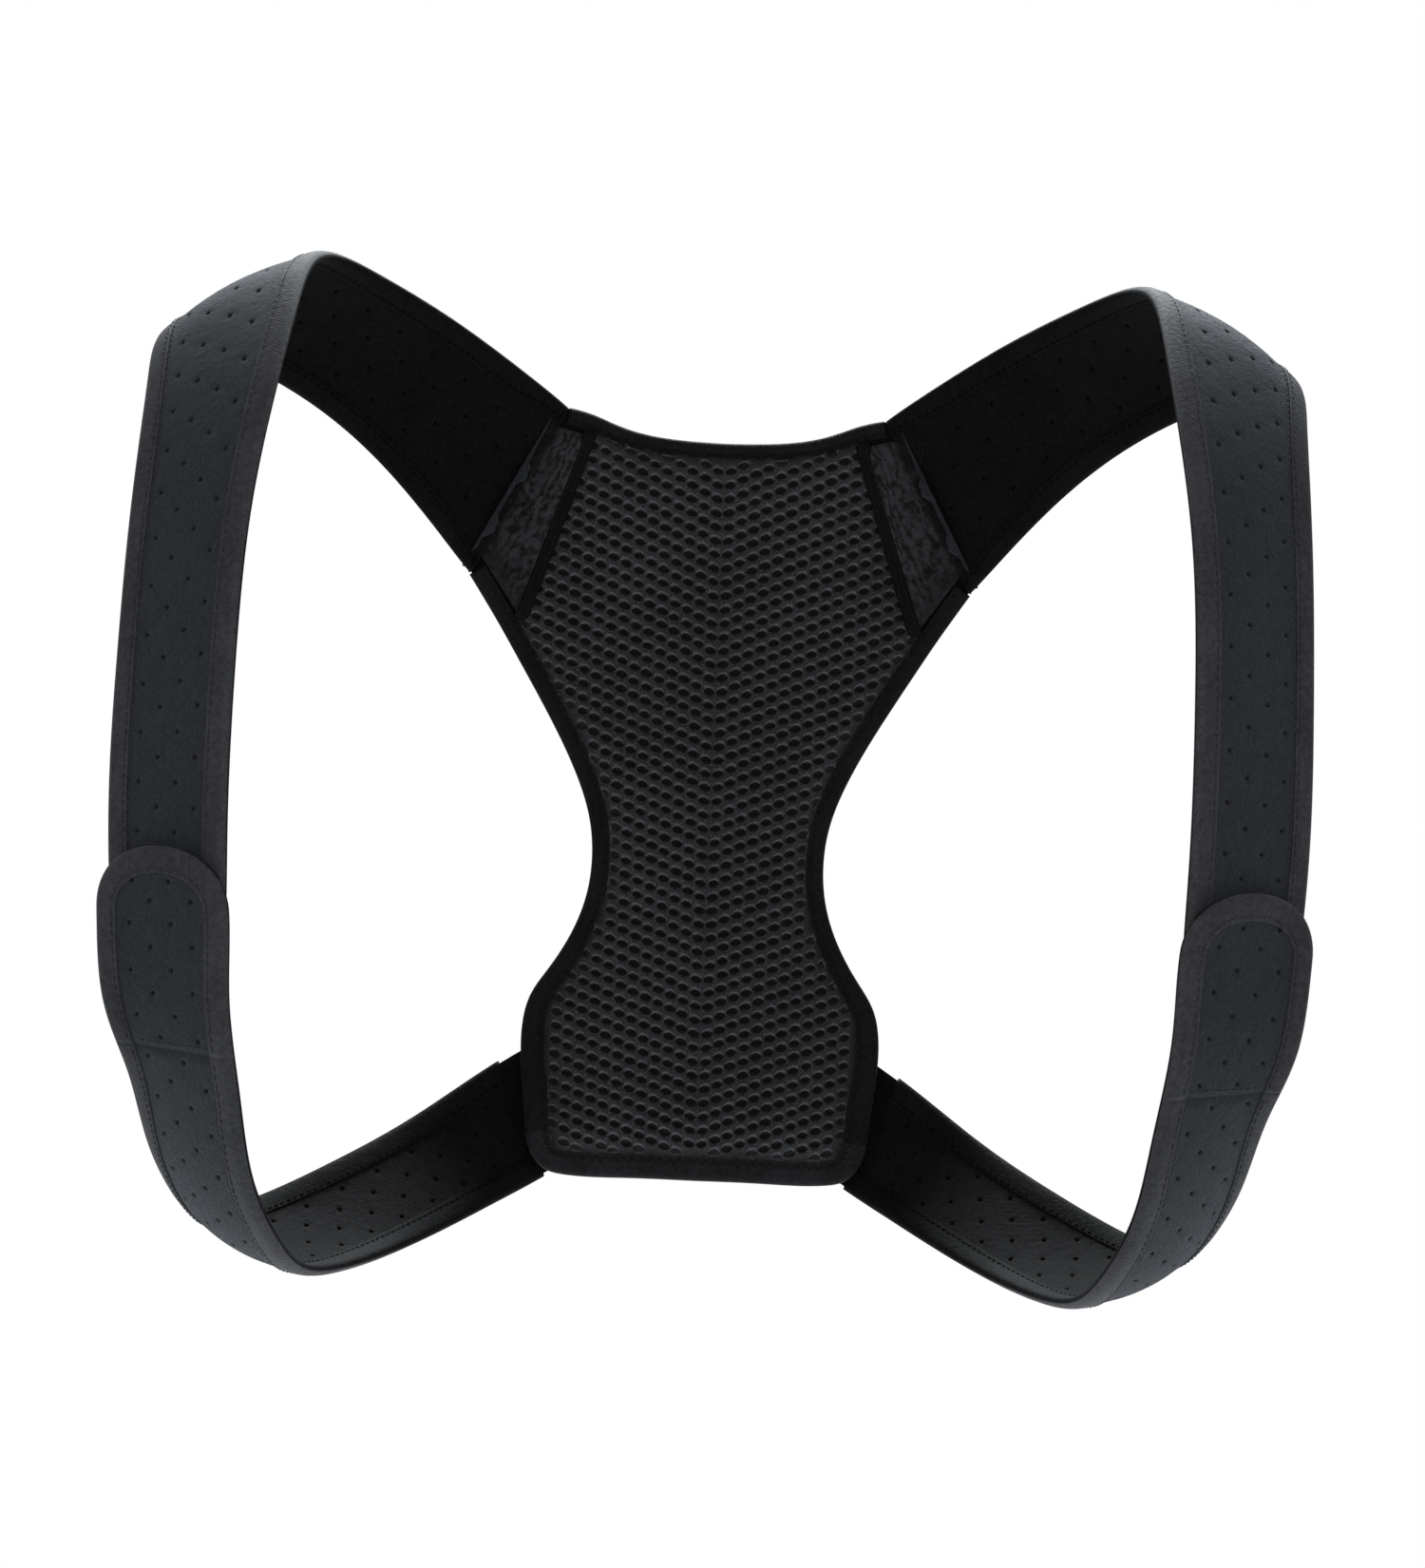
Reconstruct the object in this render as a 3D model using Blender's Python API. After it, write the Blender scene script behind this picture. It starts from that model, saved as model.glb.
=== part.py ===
"""Posture-correcting back brace: hourglass back panel, two shoulder straps that pass over the
shoulders, and two underarm straps that end in hook-and-loop tabs.

Axes: +X is the wearer's left, +Y points away from the wearer's back, +Z is up. The origin is
the middle of the panel's flat inner face. Lengths below are millimetres; points become metres
when a mesh is made.
"""

import bmesh
import bpy
import numpy as np

MM = 0.001
GAP = 0.3

# Panel layers, measured from the inner face towards +Y.
MESH_T = 3.0
FOAM_T = 3.0
SHELL_T = 2.4
SHELL_MID = MESH_T + GAP + FOAM_T + GAP + SHELL_T / 2
FLAT_LOW, FLAT_HIGH = -60.0, 50.0
BEND_TOP, BEND_BOTTOM = 0.0026, 0.0008

# Straps and the folded tape round every edge.
STRAP_T = 2.4
TAPE_T = 0.5
TAPE_WEB = 0.8
TAPE_LIP = 8.5
TAPE_OUT = STRAP_T / 2 + GAP + TAPE_T
TAPE_IN = STRAP_T / 2 + GAP
EDGE_INSET = TAPE_WEB + GAP

# Tab that sticks to the shoulder strap.
TAB_LIFT = 5.0
TAB_LENGTH = 66.0
TAB_WIDTH = 51.0
HOOK_T = 1.2
HOOK_EDGE = 10.6

# Half outline of the panel from the hem's corner up to the shoulder: height, half width.
SIDE = [
    (-125, 60.0), (-110, 61.6), (-94, 63.0), (-84, 62.4), (-76, 60.0), (-67, 54.2),
    (-54, 46.7), (-40, 42.0), (-27, 40.8), (-13, 42.5), (0, 47.0), (20, 57.2),
    (40, 69.1), (54, 77.7), (70, 88.2),
]
CORNER = [(60.0, -125.0), (57.8, -132.0), (53.0, -137.5), (46.0, -139.3), (24.0, -139.6), (0.0, -139.6)]
NECK = [(0.0, 119.0), (20.0, 119.9), (34.0, 122.4), (45.0, 126.4), (55.0, 130.4)]
SEAM_LOW, SEAM_HIGH = (69.0, 56.0), (47.5, 119.0)
YOKE_LOW, YOKE_HIGH = (88.0, 70.0), (55.0, 129.0)

# Shoulder strap stations from the yoke, over the shoulder, to the front end:
# neck-side edge, arm-side edge, camber of the cross-section.
SHOULDER = [
    ((55, -9, 129), (88, 6, 70), 1.8),
    ((96, -34, 156), (127, -18, 113), 2.2),
    ((118, -54, 167), (154, -39, 131), 3.0),
    ((135, -77, 171), (178, -66, 140), 4.5),
    ((141, -101, 165), (189, -95, 139), 5.0),
    ((143, -124, 150), (190, -117, 124), 3.6),
    ((146, -148, 124), (190, -133, 103), 2.0),
    ((151, -168, 85), (191, -143, 74), 1.0),
    ((154, -175, 36), (192.5, -147, 31), 0.5),
    ((155, -174, -18), (193, -147, -18), 0.0),
    ((153, -172, -45), (191.5, -146, -46), 0.0),
    ((151.5, -167, -76), (189, -141, -77), 0.0),
]
# Underarm strap stations below the tab, round the side, to its sewn end behind the panel.
UNDERARM = [
    ((149, -164, -105), (185, -136, -99), 0.5),
    ((144, -147, -134), (180, -117, -121), 2.5),
    ((135, -125, -155), (174, -95, -139), 4.5),
    ((126, -97, -167), (166, -72, -150), 4.5),
    ((111, -64, -167), (151, -47, -149), 2.5),
    ((93, -36, -161), (126, -23, -137), 1.0),
    ((72, -9, -151), (99, 0, -121), 0.3),
    ((53, 12.1, -141), (71, 12.1, -101), 0.0),
    ((24, 10.5, -122), (43, 10.5, -84), 0.0),
]


def clear_scene():
    for obj in list(bpy.data.objects):
        bpy.data.objects.remove(obj, do_unlink=True)


def new_collection(name):
    collection = bpy.data.collections.new(name)
    bpy.context.scene.collection.children.link(collection)
    return collection


def fabric(name, colour, roughness):
    material = bpy.data.materials.new(name)
    material.use_nodes = True
    shader = material.node_tree.nodes["Principled BSDF"]
    shader.inputs["Base Color"].default_value = (*colour, 1.0)
    shader.inputs["Roughness"].default_value = roughness
    shader.inputs["Metallic"].default_value = 0.0
    return material


def spline(knots, points, at):
    """Natural cubic curve through the points, read at the distances in at."""
    knots, points = np.asarray(knots, float), np.asarray(points, float)
    count = len(knots)
    step = np.diff(knots)[:, None]
    system, right = np.eye(count), np.zeros_like(points)
    for i in range(1, count - 1):
        system[i, i - 1 : i + 2] = step[i - 1, 0], 2 * (step[i - 1, 0] + step[i, 0]), step[i, 0]
        slopes = (points[i + 1] - points[i]) / step[i] - (points[i] - points[i - 1]) / step[i - 1]
        right[i] = 6 * slopes
    bend = np.linalg.solve(system, right)
    at = np.atleast_1d(np.asarray(at, float))
    j = np.clip(np.searchsorted(knots, at) - 1, 0, count - 2)
    before, after, h = (at - knots[j])[:, None], (knots[j + 1] - at)[:, None], step[j]
    curve = (bend[j] * after**3 + bend[j + 1] * before**3) / (6 * h)
    curve += (points[j] / h - bend[j] * h / 6) * after
    return curve + (points[j + 1] / h - bend[j + 1] * h / 6) * before


class Strap:
    """A band between two edge curves. s runs along it, a across it from the neck-side edge."""

    def __init__(self, stations):
        self.first = np.array([s[0] for s in stations], float)
        self.second = np.array([s[1] for s in stations], float)
        self.bow = np.array([[s[2]] for s in stations], float)
        middle = (self.first + self.second) / 2
        steps = np.linalg.norm(np.diff(middle, axis=0), axis=1)
        self.knots = np.concatenate([[0.0], np.cumsum(steps)])
        self.length = self.knots[-1]

    def frame(self, s):
        """First edge point, unit vector across, width and unit normal at s."""
        near = np.clip([s, s - 0.5, s + 0.5], 0.0, self.length)
        first = spline(self.knots, self.first, near)
        second = spline(self.knots, self.second, near)
        along = (first[2] + second[2]) - (first[1] + second[1])
        across = second[0] - first[0]
        width = np.linalg.norm(across)
        across /= width
        normal = np.cross(along, across)
        return first[0], across, width, normal / np.linalg.norm(normal)

    def point(self, s, a, height):
        first, across, width, normal = self.frame(s)
        bow = spline(self.knots, self.bow, s)[0, 0]
        rise = bow * (1 - (2 * a / width - 1) ** 2)
        return first + across * a + normal * (rise + height)

    def width(self, s):
        return self.frame(s)[2]


def place(points, side):
    return [(p[0] * side * MM, p[1] * MM, p[2] * MM) for p in points]


def closed_loft(name, rings, side, material, collection, pivot=None):
    """Solid through equal rings of points, with its two ends filled."""
    bm = bmesh.new()
    offset = np.zeros(3) if pivot is None else np.array(pivot.location)
    rows = []
    for ring in rings:
        rows.append([bm.verts.new(np.array(p) - offset) for p in place(ring, side)])
    size = len(rows[0])
    for low, high in zip(rows, rows[1:]):
        for i in range(size):
            j = (i + 1) % size
            bm.faces.new((low[i], low[j], high[j], high[i]))
    bm.faces.new(rows[0])
    bm.faces.new(rows[-1][::-1])
    bmesh.ops.recalc_face_normals(bm, faces=bm.faces)
    mesh = bpy.data.meshes.new(name)
    bm.to_mesh(mesh)
    bm.free()
    mesh.materials.append(material)
    obj = bpy.data.objects.new(name, mesh)
    collection.objects.link(obj)
    obj.parent = pivot
    return obj


def steps_between(low, high, pitch):
    return np.linspace(low, high, max(2, int(round((high - low) / pitch)) + 1))


def band_ring(strap, s, inset, half):
    """Cross-section of a flat band whose long edges are inset from the strap's edges."""
    width = strap.width(s)
    spots = [inset, TAPE_LIP, width / 2, width - TAPE_LIP, width - inset]
    top = [strap.point(s, a, half) for a in spots]
    return top + [strap.point(s, a, -half) for a in reversed(spots)]


def tape_ring(spot, lip):
    """Cross-section of folded tape. spot(u, h) is the point u inside the edge at height h."""
    outline = [(0, TAPE_OUT), (lip, TAPE_OUT), (lip, TAPE_IN), (TAPE_WEB, TAPE_IN)]
    return [spot(u, h) for u, h in outline + [(u, -h) for u, h in reversed(outline)]]


def strap_tape(name, strap, s_values, second, side, material, collection, pivot=None):
    rings = []
    for s in s_values:
        width = strap.width(s)

        def spot(u, h, s=s, width=width):
            return strap.point(s, width - u if second else u, h)

        rings.append(tape_ring(spot, TAPE_LIP))
    return closed_loft(name, rings, side, material, collection, pivot)


class RoundEnd:
    """Rounded end of a strap: the outline inset by u, as points (s, a) or as an inset at s."""

    def __init__(self, strap, end, along, across, power):
        self.strap, self.end, self.power = strap, end, power
        self.along, self.across = along, across
        self.sign = 1 if end > strap.length / 2 else -1
        self.centre = end - self.sign * along
        self.full = strap.width(self.centre)

    def corner(self, angle, u, second):
        """Angle 0 is on the long edge and 90 degrees on the end."""
        s = self.centre + self.sign * (self.along - u) * np.sin(angle) ** (2 / self.power)
        a = self.across - (self.across - u) * np.cos(angle) ** (2 / self.power)
        return s, self.full - a if second else a

    def inset(self, s, u):
        beyond = max(0.0, self.sign * (s - self.centre)) / (self.along - u)
        rest = max(0.0, 1 - beyond**self.power) ** (1 / self.power)
        return u + (self.across - u) * (1 - rest)

    def stations(self, u):
        shares = np.array([0.3, 0.55, 0.75, 0.9, 0.985])
        return self.centre + self.sign * (self.along - u) * shares


def rounded_band(name, strap, s_values, end, side, material, collection, pivot):
    """Strap body with one rounded end."""
    rings = []
    beyond = end.stations(EDGE_INSET)
    s_all = np.sort(np.concatenate([s_values, beyond]))
    for s in s_all:
        inset = end.inset(s, EDGE_INSET)
        width = strap.width(s)
        lip = max(TAPE_LIP, inset + (width / 2 - inset) * 0.4)
        spots = [inset, lip, width / 2, width - lip, width - inset]
        top = [strap.point(s, a, STRAP_T / 2) for a in spots]
        rings.append(top + [strap.point(s, a, -STRAP_T / 2) for a in reversed(spots)])
    return closed_loft(name, rings, side, material, collection, pivot)


def rounded_tape(name, strap, s_values, end, side, material, collection, pivot):
    """One length of tape down the first edge, round the end and back up the second edge."""
    rings = []
    toward = sorted(s_values, key=lambda s: end.sign * s)
    for s in toward:
        rings.append(tape_ring(lambda u, h, s=s: strap.point(s, u, h), TAPE_LIP))
    turn = np.radians(np.linspace(0, 90, 8))[1:]
    for angle in turn:
        rings.append(tape_ring(
            lambda u, h, g=angle: strap.point(*end.corner(g, u, False), h), TAPE_LIP))
    if end.full > 2 * end.across + 1:
        angles = turn[::-1]
    else:
        angles = turn[:-1][::-1]
    for angle in angles:
        rings.append(tape_ring(
            lambda u, h, g=angle: strap.point(*end.corner(g, u, True), h), TAPE_LIP))
    for s in toward[::-1]:
        width = strap.width(s)
        rings.append(tape_ring(lambda u, h, s=s, w=width: strap.point(s, w - u, h), TAPE_LIP))
    return closed_loft(name, rings, side, material, collection, pivot)


def bend(z):
    """How far the panel curves towards the wearer at height z."""
    top, bottom = max(0.0, z - FLAT_HIGH), max(0.0, FLAT_LOW - z)
    return -BEND_TOP * top**2 - BEND_BOTTOM * bottom**2


def side_points():
    heights = np.arange(-125.0, 70.1, 5.0)
    widths = spline([p[0] for p in SIDE], [[p[1]] for p in SIDE], heights)[:, 0]
    return [(w, z) for w, z in zip(widths, heights)]


def smooth_path(points, count):
    points = np.asarray(points, float)
    knots = np.concatenate([[0], np.cumsum(np.linalg.norm(np.diff(points, axis=0), axis=1))])
    return spline(knots, points, np.linspace(0, knots[-1], count))


def hem_points():
    return [tuple(p) for p in smooth_path(CORNER, 13)][::-1]


def neck_points():
    return [tuple(p) for p in smooth_path(NECK, 9)][::-1]


def inward(points):
    """Unit vectors to the left of a path of (x, z) points, which goes anticlockwise."""
    points = np.asarray(points, float)
    along = np.gradient(points, axis=0)
    along /= np.linalg.norm(along, axis=1)[:, None]
    return np.stack([-along[:, 1], along[:, 0]], axis=1)


def side_lip(z):
    """Width of the tape's lips along the panel's side: wider round the lower lobe."""
    return 8.5 - 2.1 * min(1.0, max(0.0, (z + 90.0) / 40.0))


def lower_path():
    """Right half of the outline from the hem's middle, round the corner, up to the yoke."""
    points = np.array(hem_points() + side_points()[1:])
    return points, inward(points), len(hem_points())


def half_outline(hem, side_in, neck, low=None, high=None):
    """Right half of an inset outline, from the hem's middle to the neckline's middle."""
    points, directions, corner = lower_path()
    share = np.clip((points[:, 1] + 137.0) / 25.0, 0, 1)
    sides = np.array([side_in(z) for z in points[:, 1]])
    first = points + directions * (hem + (sides - hem) * share)[:, None]
    neck_line = neck_points()
    third = np.array(neck_line) + inward(neck_line) * neck
    first[0, 0] = third[-1, 0] = 0.0
    if low is not None:
        first = first[first[:, 1] < low[1]]
        third = np.array([p for p in third if p[0] < high[0]])
        first = np.concatenate([first, [low]])
        third = np.concatenate([[high], third])
    return np.concatenate([first, third])


def prism(name, half, material, collection):
    """Upright cutter of the outline, through the whole depth."""
    other = half[1:-1][::-1] * np.array([-1, 1])
    loop = np.concatenate([half, other])
    rings = [[(x, y, z) for x, z in loop] for y in (-80.0, 80.0)]
    obj = closed_loft(name, rings, 1, material, collection)
    obj.hide_render = True
    obj.display_type = "WIRE"
    return obj


def panel_layer(name, near, far, half, material, collection, cutters):
    """Sheet between two depths that follows the panel's bend, cut to the outline."""
    heights = np.concatenate([
        np.arange(-160, -69.9, 10.0), [FLAT_LOW, FLAT_HIGH], np.arange(60, 150.1, 10.0)])
    front = [(bend(z) + near, z) for z in heights]
    back = [(bend(z) + far, z) for z in heights[::-1]]
    rings = [[(x, y, z) for y, z in front + back] for x in (-120.0, 120.0)]
    obj = closed_loft(name, rings, 1, material, collection)
    cut = obj.modifiers.new("outline", "BOOLEAN")
    cut.operation = "INTERSECT"
    cut.solver = "EXACT"
    cut.object = prism(name + "_outline", half, material, cutters)
    return obj


def panel_tape(name, points, directions, lips, side, material, collection):
    """Folded tape along part of the panel's edge, round the outer shell."""
    rings = []
    for (x, z), (dx, dz), lip in zip(points, directions, lips):
        slope = (bend(z + 0.5) - bend(z - 0.5))
        inner = np.array([dx, slope * dz, dz])
        inner /= np.linalg.norm(inner)
        normal = np.array([0, 1, -slope]) / np.hypot(1, slope)
        edge = np.array([x, bend(z) + SHELL_MID, z])
        rings.append(tape_ring(lambda u, h, e=edge, i=inner, n=normal: e + i * u + n * h, lip))
    return closed_loft(name, rings, side, material, collection)


def yoke(name, side, material, collection):
    """Padded wedge between the mesh's slanted seam and the start of the shoulder strap."""
    rings = []
    seam_low, seam_high = np.array(SEAM_LOW) + (0.5, 0.3), np.array(SEAM_HIGH) + (0.5, 0.3)
    strap_low, strap_high = np.array(YOKE_LOW), np.array(YOKE_HIGH)
    run = (strap_high - strap_low) / np.linalg.norm(strap_high - strap_low)
    strap_low, strap_high = strap_low + run * 9.6, strap_high - run * 9.6
    for share in np.linspace(0, 1, 7):
        x0, z0 = seam_low + (seam_high - seam_low) * share
        x1, z1 = strap_low + (strap_high - strap_low) * share
        back0 = bend(z0) + SHELL_MID - SHELL_T / 2 - GAP
        back1 = bend(z1) + SHELL_MID - SHELL_T / 2 - GAP
        rings.append([
            (x0, back0, z0), (x0, back0 - 5.0, z0), ((x0 + x1) / 2, (back0 + back1) / 2 - 3.6, (z0 + z1) / 2),
            (x1, back1 - 1.4, z1), (x1, back1, z1)])
    return closed_loft(name, rings, side, material, collection)


def tab_stations(shoulder):
    """The underarm strap's first stations, which lie on the shoulder strap's outer face."""
    stations = []
    for back, shift, width in ((50.0, 3.0, 51.0), (25.0, 2.8, 51.5), (0.0, 1.0, 47.5)):
        first, across, _, normal = shoulder.frame(shoulder.length - back)
        start = first + normal * TAB_LIFT - across * shift
        stations.append((tuple(start), tuple(start + across * width), 0.0))
    return stations


def hinge(name, strap, s, height, side, collection):
    """Empty on a fold line across the strap, at the given height from its middle surface."""
    empty = bpy.data.objects.new(name, None)
    empty.empty_display_size = 0.02
    first, across, width, normal = strap.frame(s)
    centre = first + across * width / 2 + normal * height
    empty.location = place([centre], side)[0]
    collection.objects.link(empty)
    return empty


def build_panel(parts, cutters, looks):
    low, high = np.array(YOKE_LOW), np.array(YOKE_HIGH)
    run = (high - low) / np.linalg.norm(high - low)
    back = np.array([-run[1], run[0]]) * 0.5
    in_low, in_high = low + run * 1.6 + back, high - run * 2.2 + back * 1.6
    shell_edge = half_outline(
        EDGE_INSET + 0.3, lambda z: EDGE_INSET + 0.1, EDGE_INSET + 0.6,
        tuple(in_low), tuple(in_high))
    pad_edge = half_outline(9.2, lambda z: side_lip(z) + 0.7, 6.0, SEAM_LOW, SEAM_HIGH)
    mesh_far = MESH_T
    foam_near, foam_far = MESH_T + GAP, MESH_T + GAP + FOAM_T
    shell_near, shell_far = foam_far + GAP, foam_far + GAP + SHELL_T
    panel_layer("mesh_liner", 0.0, mesh_far, pad_edge, looks["mesh"], parts, cutters)
    panel_layer("foam_core", foam_near, foam_far, pad_edge, looks["foam"], parts, cutters)
    panel_layer("outer_shell", shell_near, shell_far, shell_edge, looks["neoprene"], parts, cutters)
    path, directions, corner = lower_path()
    neck = neck_points()
    flip = np.array([-1, 1])
    hem_all = np.concatenate([(path[:corner] * flip)[:0:-1], path[:corner]])
    hem_in = np.concatenate([(directions[:corner] * flip)[:0:-1], directions[:corner]])
    panel_tape("hem_binding", hem_all, hem_in, [8.5] * len(hem_all), 1, looks["tape"], parts)
    neck_all = neck + [(-x, z) for x, z in neck[-2::-1]]
    neck_cut = [(x * 0.982, z - 0.4) if abs(x) > 54 else (x, z) for x, z in neck_all]
    panel_tape("neckline_binding", neck_cut, inward(neck_all), [5.4] * len(neck_cut), 1,
               looks["tape"], parts)
    cut, cut_in = path[corner - 1 :].copy(), directions[corner - 1 :]
    cut[0] += (cut[1] - cut[0]) / np.linalg.norm(cut[1] - cut[0]) * 0.4
    cut[-1] -= (0.9, 1.2)
    lips = [side_lip(z) for _, z in cut]
    for side, tag in ((1, "left"), (-1, "right")):
        panel_tape("armhole_binding_" + tag, cut, cut_in, lips, side, looks["tape"], parts)
        yoke("yoke_patch_" + tag, side, looks["brushed"], parts)


def build_shoulder(shoulder, side, tag, parts, looks):
    crest = shoulder.knots[3] * 0.25 + shoulder.knots[4] * 0.75
    pivot = hinge("pivot_shoulder_" + tag, shoulder, crest, -TAPE_OUT, side, parts)
    end = RoundEnd(shoulder, shoulder.length, 10.0, 10.0, 2.0)
    rear = steps_between(0.6, crest - 0.2, 9.5)
    front = np.concatenate([
        steps_between(crest + 0.2, crest + 40.0, 10.0), steps_between(crest + 55.0, end.centre, 17.0)])
    rings = [band_ring(shoulder, s, EDGE_INSET, STRAP_T / 2) for s in rear]
    closed_loft("shoulder_strap_rear_" + tag, rings, side, looks["neoprene"], parts)
    strap_tape("rear_neck_binding_" + tag, shoulder, rear, False, side, looks["tape"], parts)
    strap_tape("rear_arm_binding_" + tag, shoulder, rear, True, side, looks["tape"], parts)
    rounded_band("shoulder_strap_front_" + tag, shoulder, front, end, side,
                 looks["neoprene"], parts, pivot)
    rounded_tape("shoulder_front_binding_" + tag, shoulder, front, end, side,
                 looks["tape"], parts, pivot)


def build_underarm(shoulder, side, tag, parts, looks):
    strap = Strap(tab_stations(shoulder) + UNDERARM)
    root = strap.knots[-2]
    fold = TAB_LENGTH
    swing = hinge("pivot_underarm_" + tag, strap, root, TAPE_OUT, side, parts)
    peel = hinge("pivot_tab_" + tag, strap, fold, TAPE_OUT, side, parts)
    end = RoundEnd(strap, 0.0, 21.0, strap.width(21.0) / 2, 2.2)
    tab = steps_between(end.centre, fold - 0.2, 15.0)
    rounded_band("tab_" + tag, strap, tab, end, side, looks["neoprene"], parts, peel)
    rounded_tape("tab_binding_" + tag, strap, tab, end, side, looks["tape"], parts, peel)
    rings = []
    middle = -(STRAP_T / 2 + GAP + HOOK_T / 2)
    for s in [end.stations(EDGE_INSET)[0], *tab]:
        width = strap.width(s)
        spots = [HOOK_EDGE, width / 2, width - HOOK_EDGE]
        low = [strap.point(s, a, middle - HOOK_T / 2) for a in spots]
        rings.append(low + [strap.point(s, a, middle + HOOK_T / 2) for a in reversed(spots)])
    closed_loft("hook_patch_" + tag, rings, side, looks["hook"], parts, peel)
    loop = steps_between(fold + 0.2, root - 0.2, 13.0)
    rings = [band_ring(strap, s, EDGE_INSET, STRAP_T / 2) for s in loop]
    closed_loft("underarm_strap_" + tag, rings, side, looks["neoprene"], parts, swing)
    strap_tape("underarm_lower_binding_" + tag, strap, loop, False, side, looks["tape"], parts, swing)
    strap_tape("underarm_upper_binding_" + tag, strap, loop, True, side, looks["tape"], parts, swing)
    sewn = steps_between(root + 0.2, strap.length, 11.0)
    rings = [band_ring(strap, s, EDGE_INSET, STRAP_T / 2) for s in sewn]
    closed_loft("underarm_anchor_" + tag, rings, side, looks["neoprene"], parts)


def main():
    clear_scene()
    parts = new_collection("back_brace")
    cutters = new_collection("cutters")
    cutters.hide_render = True
    looks = {
        "neoprene": fabric("neoprene", (0.012, 0.013, 0.015), 0.7),
        "tape": fabric("binding_tape", (0.017, 0.017, 0.019), 0.6),
        "mesh": fabric("spacer_mesh", (0.016, 0.017, 0.018), 0.65),
        "foam": fabric("foam", (0.03, 0.03, 0.032), 0.95),
        "brushed": fabric("brushed_fabric", (0.02, 0.02, 0.022), 0.9),
        "hook": fabric("hook_fastener", (0.01, 0.01, 0.011), 0.5),
    }
    build_panel(parts, cutters, looks)
    shoulder = Strap(SHOULDER)
    for side, tag in ((1, "left"), (-1, "right")):
        build_shoulder(shoulder, side, tag, parts, looks)
        build_underarm(shoulder, side, tag, parts, looks)


main()
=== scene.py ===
import math

import bmesh
import bpy
import numpy as np
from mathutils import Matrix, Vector
from mathutils.bvhtree import BVHTree


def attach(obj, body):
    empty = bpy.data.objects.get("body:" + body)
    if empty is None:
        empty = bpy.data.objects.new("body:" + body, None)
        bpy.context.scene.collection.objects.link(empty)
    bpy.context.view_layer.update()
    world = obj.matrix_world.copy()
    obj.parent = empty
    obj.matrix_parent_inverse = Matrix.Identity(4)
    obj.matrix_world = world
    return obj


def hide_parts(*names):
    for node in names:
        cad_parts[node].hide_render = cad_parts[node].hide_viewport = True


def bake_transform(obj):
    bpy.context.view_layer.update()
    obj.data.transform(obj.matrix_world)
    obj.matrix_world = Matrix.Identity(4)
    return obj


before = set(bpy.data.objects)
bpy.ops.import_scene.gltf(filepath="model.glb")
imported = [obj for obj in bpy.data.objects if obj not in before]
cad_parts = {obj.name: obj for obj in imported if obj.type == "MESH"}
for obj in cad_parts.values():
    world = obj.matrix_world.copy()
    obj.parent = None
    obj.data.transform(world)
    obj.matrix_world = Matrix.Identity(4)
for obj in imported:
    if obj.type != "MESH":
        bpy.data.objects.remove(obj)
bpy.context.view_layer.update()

# Lengths are in millimetres until a mesh is built, unless a name says otherwise.
MM = 0.001
STRAP_T = 2.4                            # thickness of a band
TAPE_LIP = 8.5                           # width of a folded tape on each face
TAPE_OUT = 2.0                           # a tape's face over the middle of its band
TAPE_STEP = 1.6                          # length of a tape's step
EDGE_INSET = 1.1                         # a band's body stays this far inside its edge
CELL = 4.0                               # half a perforation cell
SHELL_MID = 7.8                          # middle of the shell behind the panel's plane
FLAT_LOW, FLAT_HIGH = -60.0, 50.0        # the panel is flat between these heights
BEND_TOP, BEND_BOTTOM = 0.0026, 0.0008   # and bends above and below them
TAB_LIFT = 5.0                           # middle of the tab over the middle of the strap
TAB_LENGTH = 66.0
HOOK_EDGE = 10.6                         # the hook field stays this far inside the tab
START_DRAW, DRAW_RUN = 0.45, 5.0         # the shoulder strap's edge drawn in at the yoke
STITCH_STEP = 1.45                       # half the pitch of a row of stitches
ON_TAPE, ON_BAND = 1.98, 1.34            # height of stitches on a tape and on a band
INSIDE, BEYOND = 1.4, -0.7               # rows of stitches inside and past a tape's lip
PANEL_STITCH = -2.05                     # height of the zigzag on the panel's wearer side
NECK_LIP = 5.4
YOKE_MARGIN = 7.6                        # the yoke cloth ends this far inside the edge
YOKE_REACH = 1.28                        # and runs past the joint to this share

# Control stations. The neck-side edges run 1 to 3 mm wider than in the CAD part.
SIDE = [
    (-125, 60.0), (-110, 61.6), (-94, 63.0), (-84, 62.4), (-76, 60.0), (-67, 54.2),
    (-54, 46.7), (-40, 42.0), (-27, 40.8), (-13, 42.5), (0, 47.0), (20, 57.2),
    (40, 69.1), (54, 77.7), (70, 88.2),
]
CORNER = [
    (60.0, -125.0), (57.8, -132.0), (53.0, -137.5), (46.0, -139.3), (24.0, -139.6),
    (0.0, -139.6),
]
NECK = [(0.0, 119.0), (20.0, 119.9), (34.0, 122.4), (45.0, 126.4), (55.0, 130.4)]
SEAM_LOW, SEAM_HIGH = (69.0, 56.0), (47.5, 119.0)
YOKE_LOW, YOKE_HIGH = (88.0, 70.0), (55.0, 129.0)
SHOULDER = [
    ((55, -9, 129), (88, 6, 70), 1.8),
    ((96, -34, 156), (127, -18, 113), 2.2),
    ((118, -54, 167), (154, -39, 131), 3.0),
    ((133.8, -77.3, 171.9), (178, -66, 140), 4.5),
    ((139.6, -101.2, 165.8), (189, -95, 139), 5.0),
    ((141.8, -124.2, 150.7), (190, -117, 124), 3.6),
    ((145, -148.4, 124.5), (190, -133, 103), 2.0),
    ((149.8, -168.8, 85.3), (191, -143, 74), 1.0),
    ((152.4, -176.2, 36), (192.5, -147, 31), 0.5),
    ((152.9, -175.5, -18), (193, -147, -18), 0.0),
    ((152.4, -172.4, -45), (191.5, -146, -46), 0.0),
    ((152.8, -166, -76), (189, -141, -77), 0.0),
]
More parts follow.
